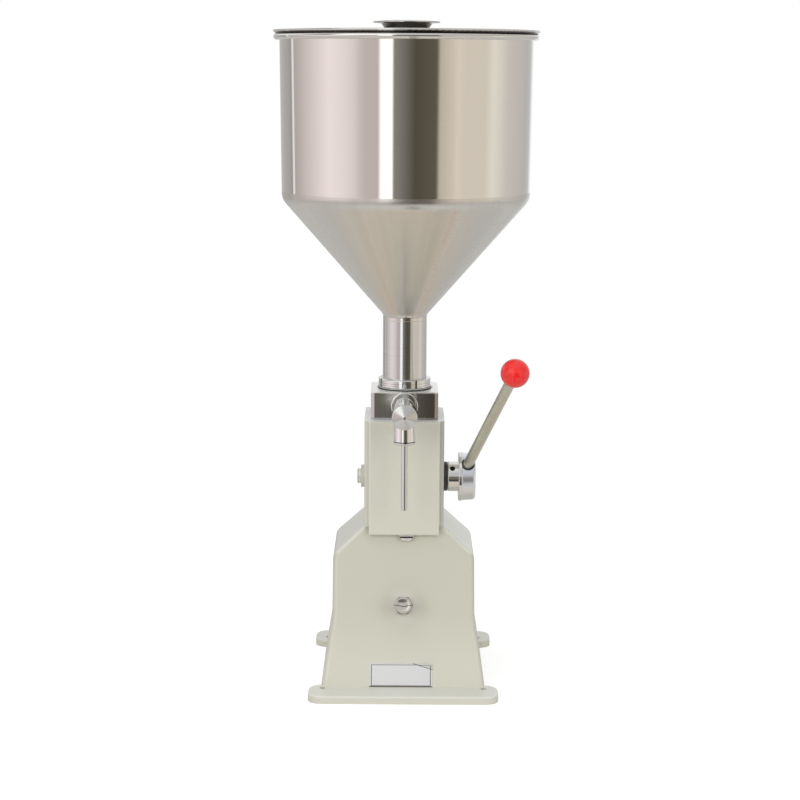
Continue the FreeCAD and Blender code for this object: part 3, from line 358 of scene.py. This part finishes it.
def grid_mesh(name, points, uv=None, closed_round=False):
    """Mesh from a grid of points, row by row, with one face between four neighbours."""
    rows, columns = points.shape[:2]
    number = np.arange(rows * columns).reshape(rows, columns)
    if closed_round:
        number = np.concatenate([number, number[:, :1]], axis=1)
    faces = np.stack([number[:-1, :-1], number[:-1, 1:], number[1:, 1:], number[1:, :-1]],
                     axis=-1).reshape(-1, 4)
    mesh = bpy.data.meshes.new(name)
    mesh.from_pydata(points.reshape(-1, 3).tolist(), [], faces.tolist())
    if uv is not None:
        layer = mesh.uv_layers.new(name="flat")
        layer.data.foreach_set("uv", uv.reshape(-1, 2)[faces.ravel()].ravel())
    mesh.polygons.foreach_set("use_smooth", np.ones(len(faces), bool))
    if uv is None:
        close_seams(mesh)
    return mesh


def add_piece(mesh, finish, body):
    """Put a finished mesh in the scene, on the body that it moves with."""
    made = bpy.data.objects.new(mesh.name, mesh)
    bpy.context.scene.collection.objects.link(made)
    mesh.materials.append(finish.material)
    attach(made, body)
    return made


foil_points, foil_u, foil_v = curled_foil(113, 43)
foil = Finish("brushed_foil", Metallic=0.35)
lines = foil.node("UVMap", {"uv_map": "flat"})
edge_u = foil.node("Math", {"operation": "ABSOLUTE"}, {0: foil.axis("X", lines) - 0.5})
edge_v = foil.node("Math", {"operation": "ABSOLUTE"}, {0: foil.axis("Y", lines) - 0.5})
border = (edge_u.between(0.462, 0.474, 0.004) * (1 - edge_v.above(0.44, 0.01))
          + edge_v.between(0.425, 0.45, 0.01) * (1 - edge_u.above(0.474, 0.004)))
grain = foil.noise(1.0, 3, 0.6, foil.place(scale=(40, 4000, 4000)))
crease = (foil.axis("X", lines) * (plate_width * fold_way[0])
          + foil.axis("Y", lines) * (plate_height * fold_way[1])
          - (plate_width * fold_way[0] + plate_height * fold_way[1]) / 2)
# Painted shade along the crease, and a painted shadow along the foot.
crease_shade = crease.between(0.0166, 0.0176, 0.0003)
foot_shadow = 1 - foil.axis("Y", lines).above(0.045, 0.02)
foil.set(
    Base_Color=foil.mix(
        foil.mix((0.68, 0.68, 0.68), (0.8, 0.8, 0.8), grain), (0.09, 0.085, 0.08),
        border + crease_shade * 0.75 + foot_shadow),
    Roughness=0.26 + grain * 0.16, Normal=foil.bump(grain, 0.00001))
foil_mesh = grid_mesh("label_foil", foil_points, np.stack([foil_u + 0.5, foil_v + 0.5], -1))
foil_piece = add_piece(foil_mesh, foil, "frame")
thicken = foil_piece.modifiers.new("thickness", "SOLIDIFY")
thicken.thickness = foil_thick
thicken.offset = 1.0
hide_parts("blank_plate")

# Valve block
# A block of stainless bar, milled square, with its sides ground up and down and its edges
# broken. It holds the pump chamber and both valves. A painted highlight lies at the upper
# left of its front and painted shade on its right-hand part. Its top is painted bright as
# a highlight, save a thin ring of painted shadow round the collar.
ground = Finish("ground_block", Metallic=1.0)
streaks = ground.noise(1.0, 3, 0.6, ground.place(scale=(420, 420, 9)))
# Painted light: a highlight at the upper left, shade on the right, a bright top, and a ring of
# shadow round the collar.
highlight_place = (-0.0165, -0.038, 0.335)
painted_highlight_patch = 1 - ground.node("VectorMath", {"operation": "LENGTH"}, {
    0: ground.place(highlight_place, scale=(1, 0.5, 1))}, "Value").above(0.008, 0.02)
shaded = ground.axis("X").above(0.016, 0.04)
top_glint = ground.axis("Z").above(0.3406, 0.0008)
block_top = ground.axis("Z").above(0.3415, 0.0005)
ring_shade = ground.from_axis()[0].between(0.0305, 0.0326, 0.0008) * block_top
ground.set(
    Base_Color=ground.mix(
        ground.mix(
            ground.mix((0.46, 0.45, 0.47), (0.7, 0.69, 0.7), streaks),
            (0.26, 0.24, 0.21), shaded * 0.9),
        (0.93, 0.92, 0.91), painted_highlight_patch * 0.9 + top_glint * (1 - ring_shade)),
    Roughness=0.06 + streaks * 0.05 + painted_highlight_patch * 0.2 + top_glint * 0.25,
    Normal=ground.bump(streaks, 0.000001))
dress(ground, "valve_block")

# Cylinder and piston
# A honed liner hangs in the housing, sealed by a rubber ring. The turned piston has two
# rubber ring seals and is screwed on the rod.
honed = Finish("honed_liner", Base_Color=(0.66, 0.65, 0.63), Metallic=1.0)
honing = honed.noise(1.0, 3, 0.6, honed.place(scale=(900, 900, 900)))
honed.set(Roughness=0.2 + honing * 0.2, Normal=honed.bump(honing, 0.000006))
dress(honed, "cylinder_liner")


def turned_steel(name, colour, roughness, middle=(0, 0, 0), turn=(0, 0, 0), depth=0.000004):
    """Stainless as it comes from the lathe, with fine rings round its axis."""
    made = Finish(name, Metallic=1.0)
    rings = made.lathe_marks(1800, middle, turn)
    dull = made.noise(60, 2)
    dark = tuple(0.86 * part for part in colour)
    made.set(Base_Color=made.mix(dark, colour, rings * 0.5 + dull * 0.6),
             Roughness=roughness * 0.8 + rings * roughness * 0.3 + dull * roughness * 0.3,
             Normal=made.bump(rings, depth))
    return made


dress(turned_steel("turned_piston", (0.68, 0.67, 0.65), 0.2), "piston")
black, bloomed = (0.012, 0.012, 0.012), (0.035, 0.034, 0.032)
rubber = Finish("black_rubber")
bloom = rubber.noise(500, 3)
rubber.set(Base_Color=rubber.mix(black, bloomed, bloom),
           Roughness=0.5 + bloom * 0.25)
dress(rubber, "liner_gasket", "piston_seals")

# Piston rod
# A steel rod with a rack milled into its front, greased where it runs, and threaded at its
# foot for the tapered stop nut that sets the volume.
bright_steel = (0.5, 0.49, 0.46)
bronze_dark, bronze_bright = (0.4, 0.25, 0.11), (0.55, 0.38, 0.18)
rod_pitch = 0.0015
greased = Finish("greased_steel", Metallic=1.0)
ring_marks = greased.lathe_marks(1500)
grease = greased.noise(120, 3)
rod_turns = greased.node(
    "Math", {"operation": "FRACT"}, {0: greased.axis("Z") * (1 / rod_pitch)})
rod_thread = greased.node("Math", {"operation": "PINGPONG"}, {0: rod_turns, 1: 0.5})
on_thread = 1 - greased.axis("Z").above(0.1185, 0.0004)
greased.set(
    Base_Color=greased.mix(bright_steel, (0.24, 0.21, 0.15), grease.above(0.5, 0.25)),
    Roughness=0.18 + grease * 0.2,
    Normal=greased.bump(ring_marks * 0.01 + rod_thread * on_thread, 0.0009))
dress(greased, "rack_rod")
dress(turned_steel("turned_stop", bright_steel, 0.3), "volume_stop_cone", "volume_lock_nut")
bronze = Finish("turned_bronze", Metallic=1.0)
bronze_rings = bronze.lathe_marks(1500)
bronze.set(
    Base_Color=bronze.mix(bronze_dark, bronze_bright, bronze_rings),
    Roughness=0.25 + bronze_rings * 0.2)
dress(bronze, "rod_guide_bush")

# Pinion and shaft
# A hobbed steel pinion is keyed to a ground shaft. The shaft runs in a bronze bush on the
# left and a black sintered one with a flange on the right, and a screw holds its end.
shaft_place = (0, -0.019, 0.24)
shaft_turn = (0, -math.pi / 2, 0)
dress(turned_steel("ground_shaft", (0.66, 0.65, 0.63), 0.14, shaft_place, shaft_turn),
      "handle_shaft")
end_screw = Finish("end_screw_plating", Metallic=0.6)
screw_rings = end_screw.lathe_marks(1500, shaft_place, shaft_turn)
outer_rim = 1 - end_screw.axis("X").above(-0.0531, 0.0006)
end_screw.set(
    Base_Color=end_screw.mix((0.84, 0.84, 0.78), (0.12, 0.12, 0.11), outer_rim * 0.7),
    Roughness=0.3 + screw_rings * 0.15)
dress(end_screw, "shaft_end_screw")
gear_steel = Finish("hobbed_steel", Metallic=1.0)
hobbing = gear_steel.noise(1.0, 2, 0.5, gear_steel.place(scale=(2500, 300, 300)))
gear_steel.set(
    Base_Color=gear_steel.mix((0.25, 0.23, 0.19), bright_steel, hobbing),
    Roughness=0.25 + hobbing * 0.2)
dress(gear_steel, "pinion", "pinion_key")
side_bronze = Finish("side_bronze")
painted = 1 - side_bronze.axis("X").above(-0.0461, 0.0002)
side_rings = side_bronze.lathe_marks(1500, shaft_place, shaft_turn)
side_bronze.set(
    Base_Color=side_bronze.mix(
        side_bronze.mix(bronze_dark, bronze_bright, side_rings),
        (0.64, 0.63, 0.54), painted),
    Metallic=1 - painted, Roughness=0.25 + side_rings * 0.2)
dress(side_bronze, "left_bush")
sintered = Finish("black_sintered", Metallic=0.5)
pores = sintered.noise(1500, 3)
sintered.set(Base_Color=sintered.mix((0.02, 0.02, 0.018), (0.075, 0.075, 0.06), pores),
             Roughness=0.3 + pores * 0.25)
dress(sintered, "right_bush", "hub_set_screw")

# Hub
# Turned and plated steel: the neck is polished like a mirror, and the thick disc that the
# lever stands in has a soft satin plating. The set screw's hole and the lever's socket
# are painted black as shade.
lever_place = (0.0673, -0.019, 0.24)
lever_turn = (-math.radians(47), -math.radians(13.3), 0)
hole_place, hole_turn = (0.056, -0.019, 0.24), (-math.radians(47), 0, 0)
hub_metal = Finish("hub_plating", Metallic=1.0)
hub_rings = hub_metal.lathe_marks(1300, shaft_place, shaft_turn)
on_disc = hub_metal.axis("X").above(0.0669, 0.0004)
# Painted shade inside the lever's socket and the set screw's hole.
socket_shade = 1 - hub_metal.from_axis(lever_place, lever_turn)[0].above(0.0079, 0.001)
hole_shade = 1 - hub_metal.from_axis(hole_place, hole_turn)[0].above(0.0031, 0.0004)
lit_hub = hub_metal.mix((0.79, 0.8, 0.78), (0.83, 0.86, 0.92), on_disc)
hub_metal.set(
    Base_Color=hub_metal.mix(lit_hub, black, hole_shade + socket_shade * on_disc * 0.8),
    Roughness=0.05 + on_disc * 0.22 + hub_rings * 0.05,
    Normal=hub_metal.bump(hub_rings, 0.000004))
dress(hub_metal, "handle_hub")

# Lever rod
# A bare steel rod, drawn and then tarnished by hands to a dull olive grey. It stands in
# the hub and is screwed into the ball.
tarnished = Finish("tarnished_rod", Metallic=0.85)
rod_radius, rod_height = tarnished.from_axis(lever_place, lever_turn)
drawn = tarnished.noise(1.0, 3, 0.6, tarnished.place(lever_place, lever_turn, (900, 900, 14)))
handled = tarnished.noise(45, 3)
foot_glint = 1 - rod_height.above(0.03, 0.012)
tarnished.set(
    Base_Color=tarnished.mix(
        tarnished.mix((0.52, 0.505, 0.43), (0.7, 0.69, 0.6), drawn * 0.6 + handled * 0.5),
        (0.62, 0.6, 0.55), foot_glint * 0.5),
    Roughness=0.24 + handled * 0.12, Normal=tarnished.bump(drawn, 0.000008))
dress(tarnished, "handle_rod")

# Ball knob
# A ball of glossy red phenolic, moulded and polished, with faint swirls in the colour. It
# is screwed on the end of the lever rod.
red = Finish("red_phenolic", Coat_Weight=0.4, Coat_Roughness=0.04)
swirls = red.noise(90, 3)
red.set(Base_Color=red.mix((0.78, 0.01, 0.01), (0.88, 0.016, 0.015), swirls),
        Roughness=0.16 + swirls * 0.08, Normal=red.bump(red.noise(60, 1), 0.00005))
dress(red, "ball_knob")
# The ball draws no red line in the polished neck.
cad["ball_knob"].visible_glossy = False

# Inlet valve
# A drilled stainless seat, a turned disc with a stem, a nut and a wire spring, all of them
# wet with the product when the pump runs.
dress(turned_steel("turned_valve", (0.7, 0.69, 0.67), 0.16), "inlet_seat",
      "inlet_valve_disc", "inlet_stem_nut")
wire_radius = 0.00045


def wound_spring(radius, length, turns, steps=40, sides=10):
    """Points of a spring along Z, closed at both ends.

    The wire's middle goes round by the angle a, at radius times (cos a, sin a), and rises by
    the length times the smooth step of the share of the way, so its end turns lie closer.
    The wire is a circle across that line, and shrinks to a point at each end.
    """
    share = np.linspace(0, 1, steps * turns + 1)[:, None]
    angle = 2 * math.pi * turns * share
    ease = 0.6 * share + 0.4 * share * share * (3 - 2 * share)
    outwards = np.concatenate([np.cos(angle), np.sin(angle), 0 * angle], 1)
    middle = outwards * radius + np.array([0, 0, 1]) * (wire_radius + ease * length)
    tangent = np.gradient(middle, axis=0)
    tangent /= np.linalg.norm(tangent, axis=1, keepdims=True)
    upwards = np.cross(tangent, outwards)
    side = np.linspace(0, 2 * math.pi, sides + 1)
    thick = np.full((len(share), 1), wire_radius)
    thick[0] = thick[-1] = 0
    ring = (outwards[:, None] * np.cos(side)[None, :, None]
            + upwards[:, None] * np.sin(side)[None, :, None])
    return middle[:, None] + ring * thick[:, :, None]


wire = Finish("spring_wire", Metallic=1.0)
drawn_wire = wire.noise(800, 2)
wire.set(Base_Color=wire.mix((0.5, 0.49, 0.47), (0.66, 0.65, 0.63), drawn_wire),
         Roughness=0.2 + drawn_wire * 0.2)
inlet_foot = np.array([0, 0, 0.3361])
inlet_coil = wound_spring(0.0038, 0.0099, 5) + inlet_foot
inlet_spring = add_piece(grid_mesh("inlet_coil", inlet_coil), wire, "frame")
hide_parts("inlet_spring")
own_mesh(inlet_spring)

# Outlet
# Turned and polished stainless, screwed to the front of the block with a union ring. The
# cap that closes the valve chamber is a shallow cone, faced on the lathe.
outlet_place = (0, 0, 0.3263)
outlet_turn = (math.pi / 2, 0, 0)
dress(turned_steel("polished_outlet", (0.85, 0.86, 0.85), 0.08, outlet_place, outlet_turn),
      "outlet_body", "outlet_union", "outlet_check_ball")
dress(turned_steel("faced_cap", (0.74, 0.735, 0.72), 0.18, outlet_place, outlet_turn, 0.000006),
      "outlet_end_cap")

outlet_foot = np.array([0, -0.1029, 0.3263])
outlet_coil = wound_spring(0.0032, 0.0088, 5)[..., [0, 2, 1]] * np.array([1, -1, 1]) + outlet_foot
outlet_spring = add_piece(grid_mesh("outlet_coil", outlet_coil), wire, "frame")
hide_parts("outlet_spring")
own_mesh(outlet_spring)

# Nozzle
# A thin polished tube held in the spout by a turned cap, with a dark line of dirt where
# the cap meets the spout.
nozzle_place = (0, -0.1005, 0)
capped = Finish("nozzle_cap_steel", Metallic=1.0)
cap_rings = capped.lathe_marks(1800, nozzle_place)
joint = capped.axis("Z").between(0.2966, 0.2978, 0.0002)
capped.set(Base_Color=capped.mix((0.72, 0.74, 0.74), (0.03, 0.03, 0.03), joint * 0.9),
           Roughness=0.09 + cap_rings * 0.06)
dress(capped, "nozzle_cap")
dress(turned_steel("nozzle_steel", (0.7, 0.73, 0.73), 0.03, nozzle_place), "nozzle_tube")

# Neck collar
# A turned and slotted steel collar, polished. It presses the hopper's neck down on a black
# rubber gasket. Its slots and two grooves are painted dark as shade.
collar_metal = Finish("collar_steel", Metallic=1.0)
collar_rings = collar_metal.lathe_marks(1400)
from_middle, collar_height = collar_metal.from_axis()
# Painted shade in the slots and in two grooves.
slot_shade = (from_middle.above(0.0276, 0.0004) * (1 - from_middle.above(0.0297, 0.0006))
               * (1 - collar_height.above(0.3532, 0.0006)))
groove_shade = (collar_height.between(0.3491, 0.3497, 0.0002)
           + collar_height.between(0.3466, 0.3471, 0.0002)) * from_middle.above(0.03, 0.0002)
collar_metal.set(
    Base_Color=collar_metal.mix(
        (0.72, 0.735, 0.73), (0.12, 0.12, 0.12), slot_shade * 0.8 + groove_shade * 0.45),
    Roughness=0.07 + collar_rings * 0.06, Normal=collar_metal.bump(collar_rings, 0.000005))
dress(collar_metal, "neck_collar")
seat_ring = Finish("seat_ring")
lip = seat_ring.axis("Z").above(0.3432, 0.0003)
specks = seat_ring.noise(500, 3)
seat_ring.set(
    Base_Color=seat_ring.mix(
        seat_ring.mix(black, bloomed, specks),
        (0.5, 0.5, 0.49), lip),
    Roughness=0.45 + specks * 0.2)
dress(seat_ring, "hopper_gasket")

# Hopper
# Spun and rolled stainless sheet. The cylinder and the neck are brushed round and round,
# the cone is duller and keeps faint streaks from top to bottom, and its joint with the
# neck is a small weld. The top of the bead, under the lid, is painted dark as shade, and
# the cone carries a faint painted dark reflection down its middle and a painted warm red
# reflection of the ball knob on its right.
brushed = Finish("brushed_stainless", Metallic=1.0)
brush = brushed.noise(1.0, 3, 0.6, brushed.place(scale=(3, 3, 1400)))
cloud = brushed.noise(9, 2)
to_bead, bead_height = brushed.from_axis()
inside = 1 - to_bead.above(0.1416, 0.0004)
# Painted shade on the top of the bead, in the gap under the lid.
bead_gap_shade = bead_height.above(0.746, 0.0008) * (1 - to_bead.above(0.1487, 0.0012))
brushed.set(
    Base_Color=brushed.mix(
        brushed.mix((0.74, 0.725, 0.7), (0.78, 0.765, 0.74), brush * 0.6 + cloud * 0.4),
        (0.02, 0.02, 0.02), bead_gap_shade * 0.9),
    Metallic=1 - inside * 0.45,
    Roughness=0.035 + brush * 0.035 + cloud * 0.01 + inside * 0.25,
    Normal=brushed.bump(brush, 0.000006))
dress(brushed, "hopper_cylinder")

tube_steel = Finish("tube_stainless", Metallic=1.0)
tube_brush = tube_steel.noise(1.0, 3, 0.6, tube_steel.place(scale=(9, 9, 900)))
tube_steel.set(
    Base_Color=tube_steel.mix((0.6, 0.61, 0.61), (0.7, 0.715, 0.72), tube_brush),
    Roughness=0.09 + tube_brush * 0.05, Normal=tube_steel.bump(tube_brush, 0.000003))
dress(tube_steel, "hopper_neck")

cone = Finish("spun_cone")
inner_face = cone.axis("Z", cone.node("NewGeometry", output="Normal")).above(0.1, 0.1)
rings = cone.noise(1.0, 3, 0.6, cone.place(scale=(3, 3, 1100)))
level = cone.node("VectorMath", {"operation": "MULTIPLY"}, {0: cone.place(), 1: (1, 1, 0)})
facing = cone.node("VectorMath", {"operation": "NORMALIZE"}, {0: level})
streak = cone.noise(7, 3, 0.65, facing)
side = cone.axis("X", facing)
# Painted reflections: a faint dark one down the middle, and the red ball knob's on the right.
centre_reflection = side.between(-0.035, 0.02, 0.05) * (1 - cone.axis("Z").above(0.545, 0.03))
ball_reflection_height = cone.axis("Z").between(0.51, 0.557, 0.012)
socket = 1 - cone.axis("Z").above(0.429, 0.005)
ball_reflection = side.between(0.375, 0.41, 0.05) * ball_reflection_height
cone.set(
    Base_Color=cone.mix(
        cone.mix(
            cone.mix((0.62, 0.6, 0.55), (0.77, 0.755, 0.72), streak * 0.9 + rings * 0.1),
            (0.4, 0.38, 0.35), centre_reflection * 0.12),
        (0.72, 0.52, 0.45), ball_reflection * 0.35),
    Metallic=1 - inner_face * 0.35,
    Roughness=0.22 + streak * 0.06 + rings * 0.03 - socket * 0.12,
    Normal=cone.bump(rings, 0.000002))
dress(cone, "hopper_cone")

weld_radius, weld_height, weld_size, ripples = 0.0255, 0.422, 0.00022, 70


def weld_bead(steps, sides):
    """Points of a ring of overlapping weld ripples, as a bent tube round the neck.

    Each ripple swells and falls back: the tube's radius is the weld's size times one less
    a part of the sawtooth of the angle.
    """
    turn = np.linspace(0, 2 * math.pi, steps, endpoint=False)[None, :]
    side = np.linspace(0, 2 * math.pi, sides)[:, None]
    ripple = (turn * ripples / (2 * math.pi)) % 1
    size = weld_size * (1 - 0.25 * ripple)
    reach = weld_radius - 0.0001 + size * np.cos(side)
    return np.stack([reach * np.cos(turn), reach * np.sin(turn),
                     weld_height + size * np.sin(side) * 1.3], -1)


weld_metal = Finish("weld_steel", Metallic=1.0)
heat = weld_metal.noise(160, 2)
weld_metal.set(Base_Color=weld_metal.mix((0.6, 0.57, 0.53), (0.72, 0.71, 0.7), heat),
               Roughness=0.22 + heat * 0.15)
weld_mesh = grid_mesh("neck_weld", weld_bead(560, 11), closed_round=True)
add_piece(weld_mesh, weld_metal, "frame")

# Lid
# A pressed and polished stainless lid, dished, with a rolled edge. It lies on the bead of
# the hopper, and the underside of its edge, over the gap, is painted dark as shade.
lid_metal = Finish("lid_steel", Metallic=1.0)
lid_rings = lid_metal.lathe_marks(500)
lid_radius, lid_height = lid_metal.from_axis()
# Painted shade on the underside of the edge, over the gap.
under = lid_radius.between(0.1474, 0.1497, 0.0004) * (1 - lid_height.above(0.7485, 0.0006))
lid_metal.set(
    Base_Color=lid_metal.mix((0.66, 0.65, 0.63), (0.015, 0.015, 0.015), under * 0.95),
    Roughness=0.09 + lid_rings * 0.08, Normal=lid_metal.bump(lid_rings, 0.000008))
dress(lid_metal, "lid")

# Lid knob
# A turned knob, screwed on from inside. Its disc is polished, and the foot below it is
# painted dark as shade under the disc.
knob_metal = Finish("knob_steel", Metallic=1.0)
knob_rings = knob_metal.lathe_marks(1500)
knob_radius, knob_height = knob_metal.from_axis()
# Painted shade on the foot under the disc.
foot = (1 - knob_height.above(0.7582, 0.0008)) * (1 - knob_radius.above(0.0297, 0.0006))
knob_metal.set(
    Base_Color=knob_metal.mix((0.5, 0.49, 0.47), (0.2, 0.19, 0.18), foot),
    Roughness=0.12 + knob_rings * 0.1, Normal=knob_metal.bump(knob_rings, 0.000006))
dress(knob_metal, "lid_knob")
dress(turned_steel("knob_screw_steel", (0.6, 0.59, 0.57), 0.2), "lid_knob_screw")

# Studio
# A round white table top under large soft lamps, in a pale room. Polished steel sees the
# room: white paper and window light to the left, the dark doorway, and a warm wall.
table_radius = 0.8
turns = np.linspace(0, 2 * math.pi, 97)[:-1]
rim_points = table_radius * np.stack([np.cos(turns), np.sin(turns), 0 * turns], 1)
floor_mesh = bpy.data.meshes.new("floor")
floor_mesh.from_pydata(rim_points.tolist(), [], [list(range(len(turns)))])
floor = bpy.data.objects.new("floor", floor_mesh)
bpy.context.scene.collection.objects.link(floor)
paper = Finish("white_paper", Roughness=0.9)
seen = paper.node("LightPath", output="Is Camera Ray")
mirrored = paper.node("LightPath", output="Is Glossy Ray")
forwards = paper.axis("Y") * -1
far_out = paper.node("VectorMath", {"operation": "LENGTH"}, {0: paper.place()}, "Value")
near_by = paper.mix((0.84, 0.74, 0.64), (0.76, 0.75, 0.73), far_out.above(0.38, 0.4))
sidewards = paper.axis("X")
dark_box = forwards.above(0.43, 0.03) * sidewards.between(0.03, 0.12, 0.02)
dim = paper.mix(
    paper.mix(near_by, (0.85, 0.83, 0.79), forwards.above(0.5, 0.2)),
    (0.04, 0.035, 0.03), dark_box)
paper.set(
    Base_Color=paper.mix((0.82, 0.82, 0.82), dim, mirrored),
    Emission_Color=paper.mix((0, 0, 0), (0.45, 0.45, 0.45), seen), Emission_Strength=1.0)
floor_mesh.materials.append(paper.material)

world = bpy.data.worlds.new("studio")
bpy.context.scene.world = world
world.use_nodes = True


class Room(Finish):
    """The world's light, with the same short ways to add nodes as a material."""

    def __init__(self, tree):
        self.tree = tree
        self.output = tree.nodes["World Output"]
        self.plain = tree.nodes["Background"]

    def ramp(self, factor, marks):
        """Colours along a factor that counts degrees, -180 to 180, as 0 to 1."""
        made = self.tree.nodes.new("ShaderNodeValToRGB")
        stops = made.color_ramp.elements
        stops.remove(stops[1])
        for degrees, colour in marks[1:]:
            stops.new(degrees / 360 + 0.5).color = (*colour, 1)
        stops[0].color = (*marks[0][1], 1)
        self.put(made.inputs["Fac"], factor)
        return Value(self, made.outputs["Color"])


# Angle round the machine in degrees, 0 towards the camera and 90 on the lever's side, and
# the brightness that polished metal sees there: level with the machine, above it and on
# the table below it.
walls = [
    (-180, (0.6, 0.6, 0.6)), (-134, (0.46, 0.44, 0.42)),
    (-129.5, (0.4, 0.38, 0.37)), (-127.5, (0.38, 0.36, 0.36)), (-126.5, (0.95, 0.93, 0.92)),
    (-123.7, (0.95, 0.93, 0.92)), (-122.5, (0.5, 0.46, 0.45)), (-118, (0.56, 0.51, 0.49)),
    (-98, (0.8, 0.71, 0.7)), (-74, (1.07, 0.96, 0.96)), (-60, (1, 0.9, 0.89)),
    (-48, (0.88, 0.78, 0.77)), (-43, (0.74, 0.66, 0.65)), (-37, (0.65, 0.575, 0.565)),
    (-24.6, (0.62, 0.555, 0.54)), (-23.4, (1.4, 1.4, 1.38)), (-12.6, (1.4, 1.4, 1.38)),
    (-11.4, (0.3, 0.28, 0.26)), (-5, (0.24, 0.225, 0.2)), (8, (0.1, 0.09, 0.065)),
    (27.5, (0.14, 0.118, 0.09)),
    (30, (0.62, 0.56, 0.47)), (43, (0.78, 0.7, 0.6)), (47, (0.86, 0.78, 0.68)),
    (54, (0.8, 0.72, 0.62)), (76, (0.8, 0.73, 0.64)), (85, (0.93, 0.88, 0.79)),
    (94, (0.84, 0.79, 0.72)), (104, (0.73, 0.67, 0.62)), (140, (0.56, 0.55, 0.54)),
    (153, (0.62, 0.62, 0.62)), (161, (0.95, 0.96, 0.97))]
upper = [
    (-180, (0.9, 0.9, 0.9)), (-120, (0.9, 0.9, 0.9)), (-75, (0.35, 0.34, 0.34)),
    (-62, (1.3, 1.3, 1.28)), (-14, (1.3, 1.3, 1.28)), (-8, (0.6, 0.6, 0.6)),
    (30, (0.6, 0.6, 0.6)), (50, (0.5, 0.48, 0.46)), (110, (0.6, 0.58, 0.56)),
    (180, (0.9, 0.9, 0.9))]
below = [
    (-180, (0.62, 0.62, 0.61)), (-80, (0.55, 0.55, 0.54)), (-14, (0.5, 0.49, 0.47)),
    (-11, (0.06, 0.055, 0.05)), (27, (0.05, 0.045, 0.04)), (30, (0.5, 0.49, 0.47)),
    (80, (0.55, 0.55, 0.56)), (180, (0.62, 0.62, 0.61))]

room = Room(world.node_tree)
way = room.node("TexCoord", output="Generated")
across, along, up = (room.node("SeparateXYZ", None, {"Vector": way}, k) for k in range(3))
bearing = room.node("Math", {"operation": "ARCTAN2"}, {0: across, 1: along * -1})
round_room = bearing * (1 / (2 * math.pi)) + 0.5
level_light = room.ramp(round_room, walls)
upper_light = room.ramp(round_room, upper)
ceiling = room.mix(upper_light, (0.8, 0.8, 0.8), up.above(0.72, 0.3))
sides = room.mix(level_light, ceiling, up.above(0.16, 0.16))
table_light = room.ramp(round_room, below)
low_light = room.mix((0.66, 0.65, 0.63), table_light, up.above(-0.42, 0.1))
seen_room = room.mix(low_light, sides, up.above(-0.25, 0.1))
glossy = room.node("LightPath", output="Is Glossy Ray")
camera_ray = room.node("LightPath", output="Is Camera Ray")
plain = room.mix((0.52, 0.53, 0.54), (1, 1, 1), camera_ray)
room.put(room.plain.inputs["Color"], room.mix(plain, seen_room, glossy))


def lamp(name, place, target, size, watts):
    """Square soft lamp at a place, turned to a target, and unseen in polished metal."""
    data = bpy.data.lights.new(name, "AREA")
    data.size = size
    data.energy = watts
    made = bpy.data.objects.new(name, data)
    made.location = place
    made.visible_glossy = False
    way = np.array(target, float) - np.array(place, float)
    made.rotation_euler = (
        math.atan2(math.hypot(way[0], way[1]), -way[2]), 0, math.atan2(-way[0], way[1]))
    bpy.context.scene.collection.objects.link(made)


lamp("top_lamp", (-0.2, -0.3, 2.6), (0, 0, 0.3), 2.2, 16)
lamp("key_lamp", (-1.7, -2.4, 1.1), (0, 0, 0.35), 1.8, 27)
lamp("fill_lamp", (1.7, -2.4, 1.1), (0, 0, 0.35), 1.8, 25)

bpy.context.scene.view_settings.view_transform = "Standard"
